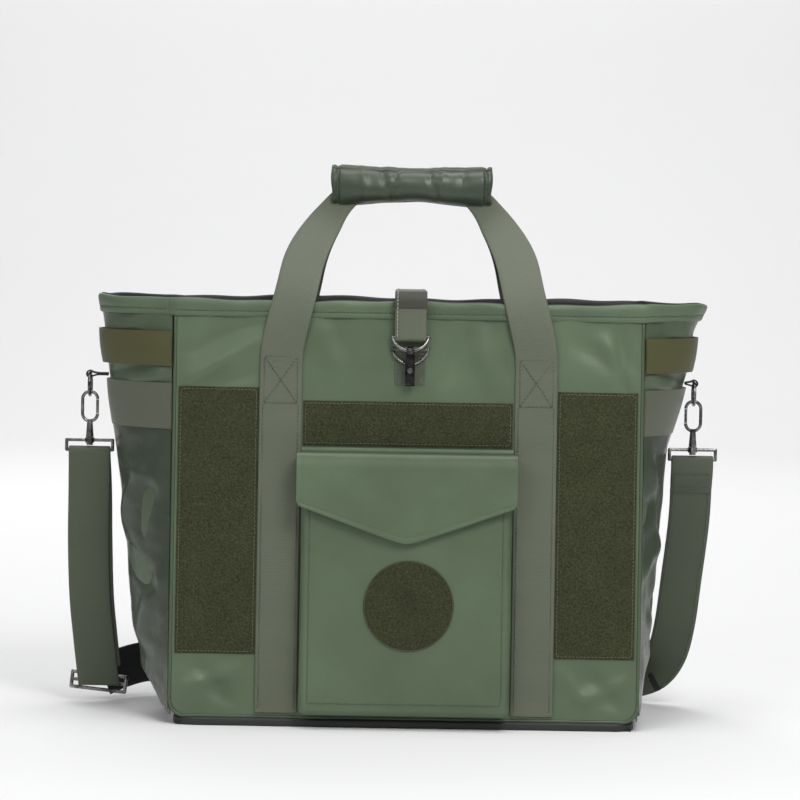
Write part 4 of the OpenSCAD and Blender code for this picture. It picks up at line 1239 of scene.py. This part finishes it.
def build_closure():
    """Two webbings: one sewn to the back that crosses the mouth, and its end, folded round the eye."""
    back = [on_panel(CLOSURE_X, v, w, True)[1:] for v, w in
            ((0.319, 0.0012), (0.332, 0.0013), (0.345, 0.0012), (0.357, 0.0015), (0.364, 0.0026),
             (0.372, 0.0035), (0.379, 0.0034))]
    over = [(0.0622, 0.3848), (0.0580, 0.3868), (0.048, 0.3872), (0.030, 0.3866), (0.010, 0.3860),
            (-0.010, 0.3862), (-0.030, 0.3868), (-0.046, 0.3876)]
    down = [(-0.046, 0.3876), (-0.0585, 0.3880), (-0.0655, 0.3868), (-0.0690, 0.3828), (-0.0702, 0.3760),
            (-0.0704, 0.3660), (-0.0706, 0.3560), (EYE_Y - 0.0027, EYE_Z), (EYE_Y - 0.0018, EYE_Z - 0.0021),
            (EYE_Y, EYE_Z - 0.0028), (EYE_Y + 0.0019, EYE_Z - 0.0020), (EYE_Y + 0.0024, EYE_Z + 0.0010),
            (-0.0671, 0.3560), (-0.0680, 0.3640), (-0.0680, 0.3720)]
    route, out = plane_route(back + over)
    first = strap("closure_strap_webbing", route, (1, 0, 0), out, CLOSURE_W, 0.0018, 6)
    sewn = [(route + out * 0.0009 + np.array([dx, 0, 0]), out) for dx in (-0.0112, 0.0112)]
    low, high = 0.323, 0.345
    sewn += [(on_panel(np.linspace(-0.010, 0.012, 8), np.linspace(a, b, 8), 0.0022, True),
              panel_normal(True)) for a, b in ((low, low), (high, high), (low, high), (high, low))]
    first_thread = stitches("closure_strap_stitches", sewn)
    route, out = plane_route(down)
    second = strap("closure_strap_end_webbing", route, (1, 0, 0), out, CLOSURE_W, 0.0017, 6)
    face, fold = slice(0, 36), slice(0, 22)
    line = route[face] + out[face] * 0.0016 + np.array([-0.0118, 0, 0])
    second_thread = stitches("closure_end_stitches", [(line, out[face])])
    # The dark strip over the strap's fold is painted shade, laid on the part that bends over the mouth.
    cap = strap("closure_fold_painted_shade", route[fold] + out[fold] * 0.0012, (1, 0, 0), out[fold],
                CLOSURE_W + 0.0008, 0.0007, 6)
    for piece, material, nodes in ((first, WEBBING, ["closure_strap", "closure_anchor"]),
                                   (first_thread, THREAD_WEB, [])):
        finish_piece(piece, None, material, nodes)
        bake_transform(piece)
    for piece, material, nodes in ((second, WEBBING, ["closure_strap_end"]), (second_thread, THREAD_PALE, []),
                                   (cap, PAINTED_SHADE_WEBBING, [])):
        finish_piece(piece, None, material, nodes)
        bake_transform(piece)


def build_closure_tab():
    """The tab folded round the bar of its ring and sewn to the panel."""
    bar_v, bar_w, r = 0.338, 0.0029, 0.0020
    points = [(0.3052, 0.0008), (0.312, 0.0008), (0.320, 0.0008), (0.328, 0.0008), (0.3345, 0.0007)]
    points += [(bar_v + r * math.sin(a), bar_w - r * math.cos(a))
               for a in np.radians((0, 45, 90, 135, 180, 225))]
    points += [(0.3352, 0.0021), (0.3330, 0.0019)]
    route = on_panel(*smooth_route([(CLOSURE_X, v, w) for v, w in points], 4).T)
    out = unit(np.cross(unit(np.gradient(route, axis=0)), (1, 0, 0)))
    tab = strap("closure_tab_webbing", route, (1, 0, 0), out, CLOSURE_W, 0.0011, 6)
    finish_piece(tab, "bag", WEB_DARK, ["closure_tab"])
    x, v = frame_line(CLOSURE_X - 0.0118, CLOSURE_X + 0.0118, 0.3072, 0.3300, 0)
    sew("closure_tab_stitches", [(on_panel(x, v, 0.0014), panel_normal())], THREAD_WEB)


# ---------- shoulder strap ----------

RING_LEFT, RING_RIGHT, RING_H = -0.29026, 0.26036, 0.298
LOOP_ROUTE = [(RING_LEFT - 0.001, 0.010, 0.200), (RING_LEFT - 0.002, 0.020, 0.150),
              (RING_LEFT - 0.001, 0.029, 0.100), (RING_LEFT + 0.002, 0.037, 0.062),
              (RING_LEFT + 0.005, 0.042, 0.032)]
STRAP_ROUTE = [(-0.280, 0.060, 0.022), (-0.265, 0.076, 0.027), (-0.243, 0.092, 0.031), (-0.216, 0.102, 0.029),
               (-0.184, 0.107, 0.024), (-0.140, 0.1085, 0.0205), (-0.070, 0.109, 0.020), (0, 0.109, 0.020),
               (0.070, 0.109, 0.020), (0.140, 0.108, 0.020), (0.188, 0.104, 0.0205), (0.214, 0.094, 0.022),
               (0.234, 0.080, 0.031), (0.246, 0.066, 0.050), (0.252, 0.053, 0.080), (0.256, 0.040, 0.124),
               (RING_RIGHT, 0.022, 0.180), (RING_RIGHT, 0.006, 0.222)]
EYE_BAR_Z = 0.238
STRAP_STEPS = 6                 # stations between two points of a strap's route


def round_eye(x):
    """Over the lower bar of a strap's eye, from behind it to its front."""
    r = 0.0027
    return [(x, 0.0034, 0.2300)] + [(x, r * math.cos(a), EYE_BAR_Z + r * math.sin(a))
                                    for a in np.radians((0, 45, 90, 135, 180))] + [(x, -0.0024, 0.2315)]


def free_strap(name, points):
    """Shoulder strap webbing through the points, its width kept level except where it hangs."""
    route = smooth_route(points, STRAP_STEPS)
    along = unit(np.gradient(route, axis=0))
    across = np.cross(along, (0, 1, 0))
    size = np.linalg.norm(across, axis=1)
    for i in range(1, len(across)):
        if size[i] < 0.35 or np.dot(across[i], across[i - 1]) < 0:
            across[i] = across[i - 1]
    across = unit(across - along * np.sum(across * along, axis=1, keepdims=True))
    out = unit(np.cross(along, across))
    return route, across, out, strap(name, route, across, out, WEB_W, 0.002)


def build_shoulder_strap():
    turn = 12               # where the run along the floor gives way to the rise to the right ring
    rise = STRAP_ROUTE[turn - 1:]
    piece = free_strap("shoulder_strap_run", STRAP_ROUTE[:turn + 1])[-1]
    # The run along the floor is coloured near-black: painted shadow.
    finish_piece(piece, "carry_strap", STRAP_RUN_PAINTED_SHADOW)
    end = [(RING_RIGHT, 0.0005, 0.2225), (RING_RIGHT, 0.0105, 0.2075)]
    route, across, out, piece = free_strap("shoulder_strap_webbing", rise + round_eye(RING_RIGHT) + end)
    finish_piece(piece, "carry_strap", WEB_DARK, ["shoulder_strap"])
    face = slice(STRAP_STEPS, (len(rise) - 1) * STRAP_STEPS)
    lines = edge_lines(route[face], across[face], out[face], WEB_W, 0.0022, 0.003)
    xs = np.linspace(RING_RIGHT - 0.0165, RING_RIGHT + 0.0165, 20)
    for y, z in ((0.0063, 0.2120), (route[-8][1] - 0.0013, route[-8][2])):
        lines.append((np.stack([xs, np.full(20, y), np.full(20, z)], 1), (0, -0.9, 0.3)))
    slide_x, slide_y, slide_z = RING_LEFT + 0.0065, 0.046, 0.018
    front_side = [(slide_x, slide_y + y, slide_z + z) for y, z in
                  ((0.0034, 0.0040), (0.0026, -0.0010), (-0.0016, -0.0022), (-0.0030, 0.0020))]
    front_side += LOOP_ROUTE[::-1] + [(RING_LEFT, -0.0010, 0.2320)]
    over = [(RING_LEFT, y, EYE_BAR_Z + z) for y, z in
            ((-0.0027, 0), (-0.0019, 0.0019), (0, 0.0027), (0.0019, 0.0019), (0.0027, 0), (0.0040, -0.0070))]
    behind = [(x + 0.003 * ease((0.235 - z) / 0.06), y + 0.0026, z) for x, y, z in LOOP_ROUTE]
    route, across, out, piece = free_strap("shoulder_strap_loop_webbing", front_side + over + behind)
    finish_piece(piece, "carry_strap", WEB_DARK, ["shoulder_strap_loop"])
    face = slice(5 * STRAP_STEPS, (len(front_side) - 1) * STRAP_STEPS)
    lines += edge_lines(route[face], across[face], out[face], WEB_W, 0.0022, 0.003)
    sew("shoulder_strap_stitches", lines, THREAD_WEB, "carry_strap")


def build_ring_tabs():
    """Short black loops that hold the side rings to the gussets."""
    for side, x, word in ((-1, RING_LEFT, "left"), (1, RING_RIGHT, "right")):
        wall = on_gusset(side, 0.0, 0.3076, 0.0006)[0]
        neck = x - side * 0.0075
        r, top = 0.0030, RING_H + 0.0096
        points = [(wall, top + 0.0009), (neck, top + 0.0009)]
        points += [(x - side * r * math.cos(a), top + r * math.sin(a))
                   for a in np.radians((40, 90, 135, 180, 225, 270, 320))]
        points += [(neck, top - 0.0006), (wall, top - 0.0006)]
        route = smooth_route([(a, 0.0, b) for a, b in points], 4)
        out = unit(np.cross(unit(np.gradient(route, axis=0)), (0, 1, 0)))
        loop = strap(f"ring_tab_{word}_webbing", route, (0, 1, 0), out, 0.010, 0.0014, 3)
        finish_piece(loop, "bag", BLACK_WEB, [f"ring_tab_{word}"])


# ---------- hardware ----------

def dress_hardware():
    """The metal parts and the base board keep their CAD shapes."""
    steel = ["closure_eye", "closure_ring", "closure_trigger", "strap_slider"]
    steel += [f"{part}_{word}" for word in ("left", "right")
              for part in ("side_ring", "strap_eye", "snap_hook", "snap_gate")]
    for names, material in ((steel, STEEL), (["closure_hook"], BLACK_STEEL), (["base_board"], BOARD)):
        for name in names:
            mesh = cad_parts[name].data
            mesh.materials.clear()
            mesh.materials.append(material)
            mesh.shade_smooth()
            mesh.set_sharp_from_angle(angle=math.radians(40))


build_closure()
build_closure_tab()
build_shoulder_strap()
build_ring_tabs()
dress_hardware()
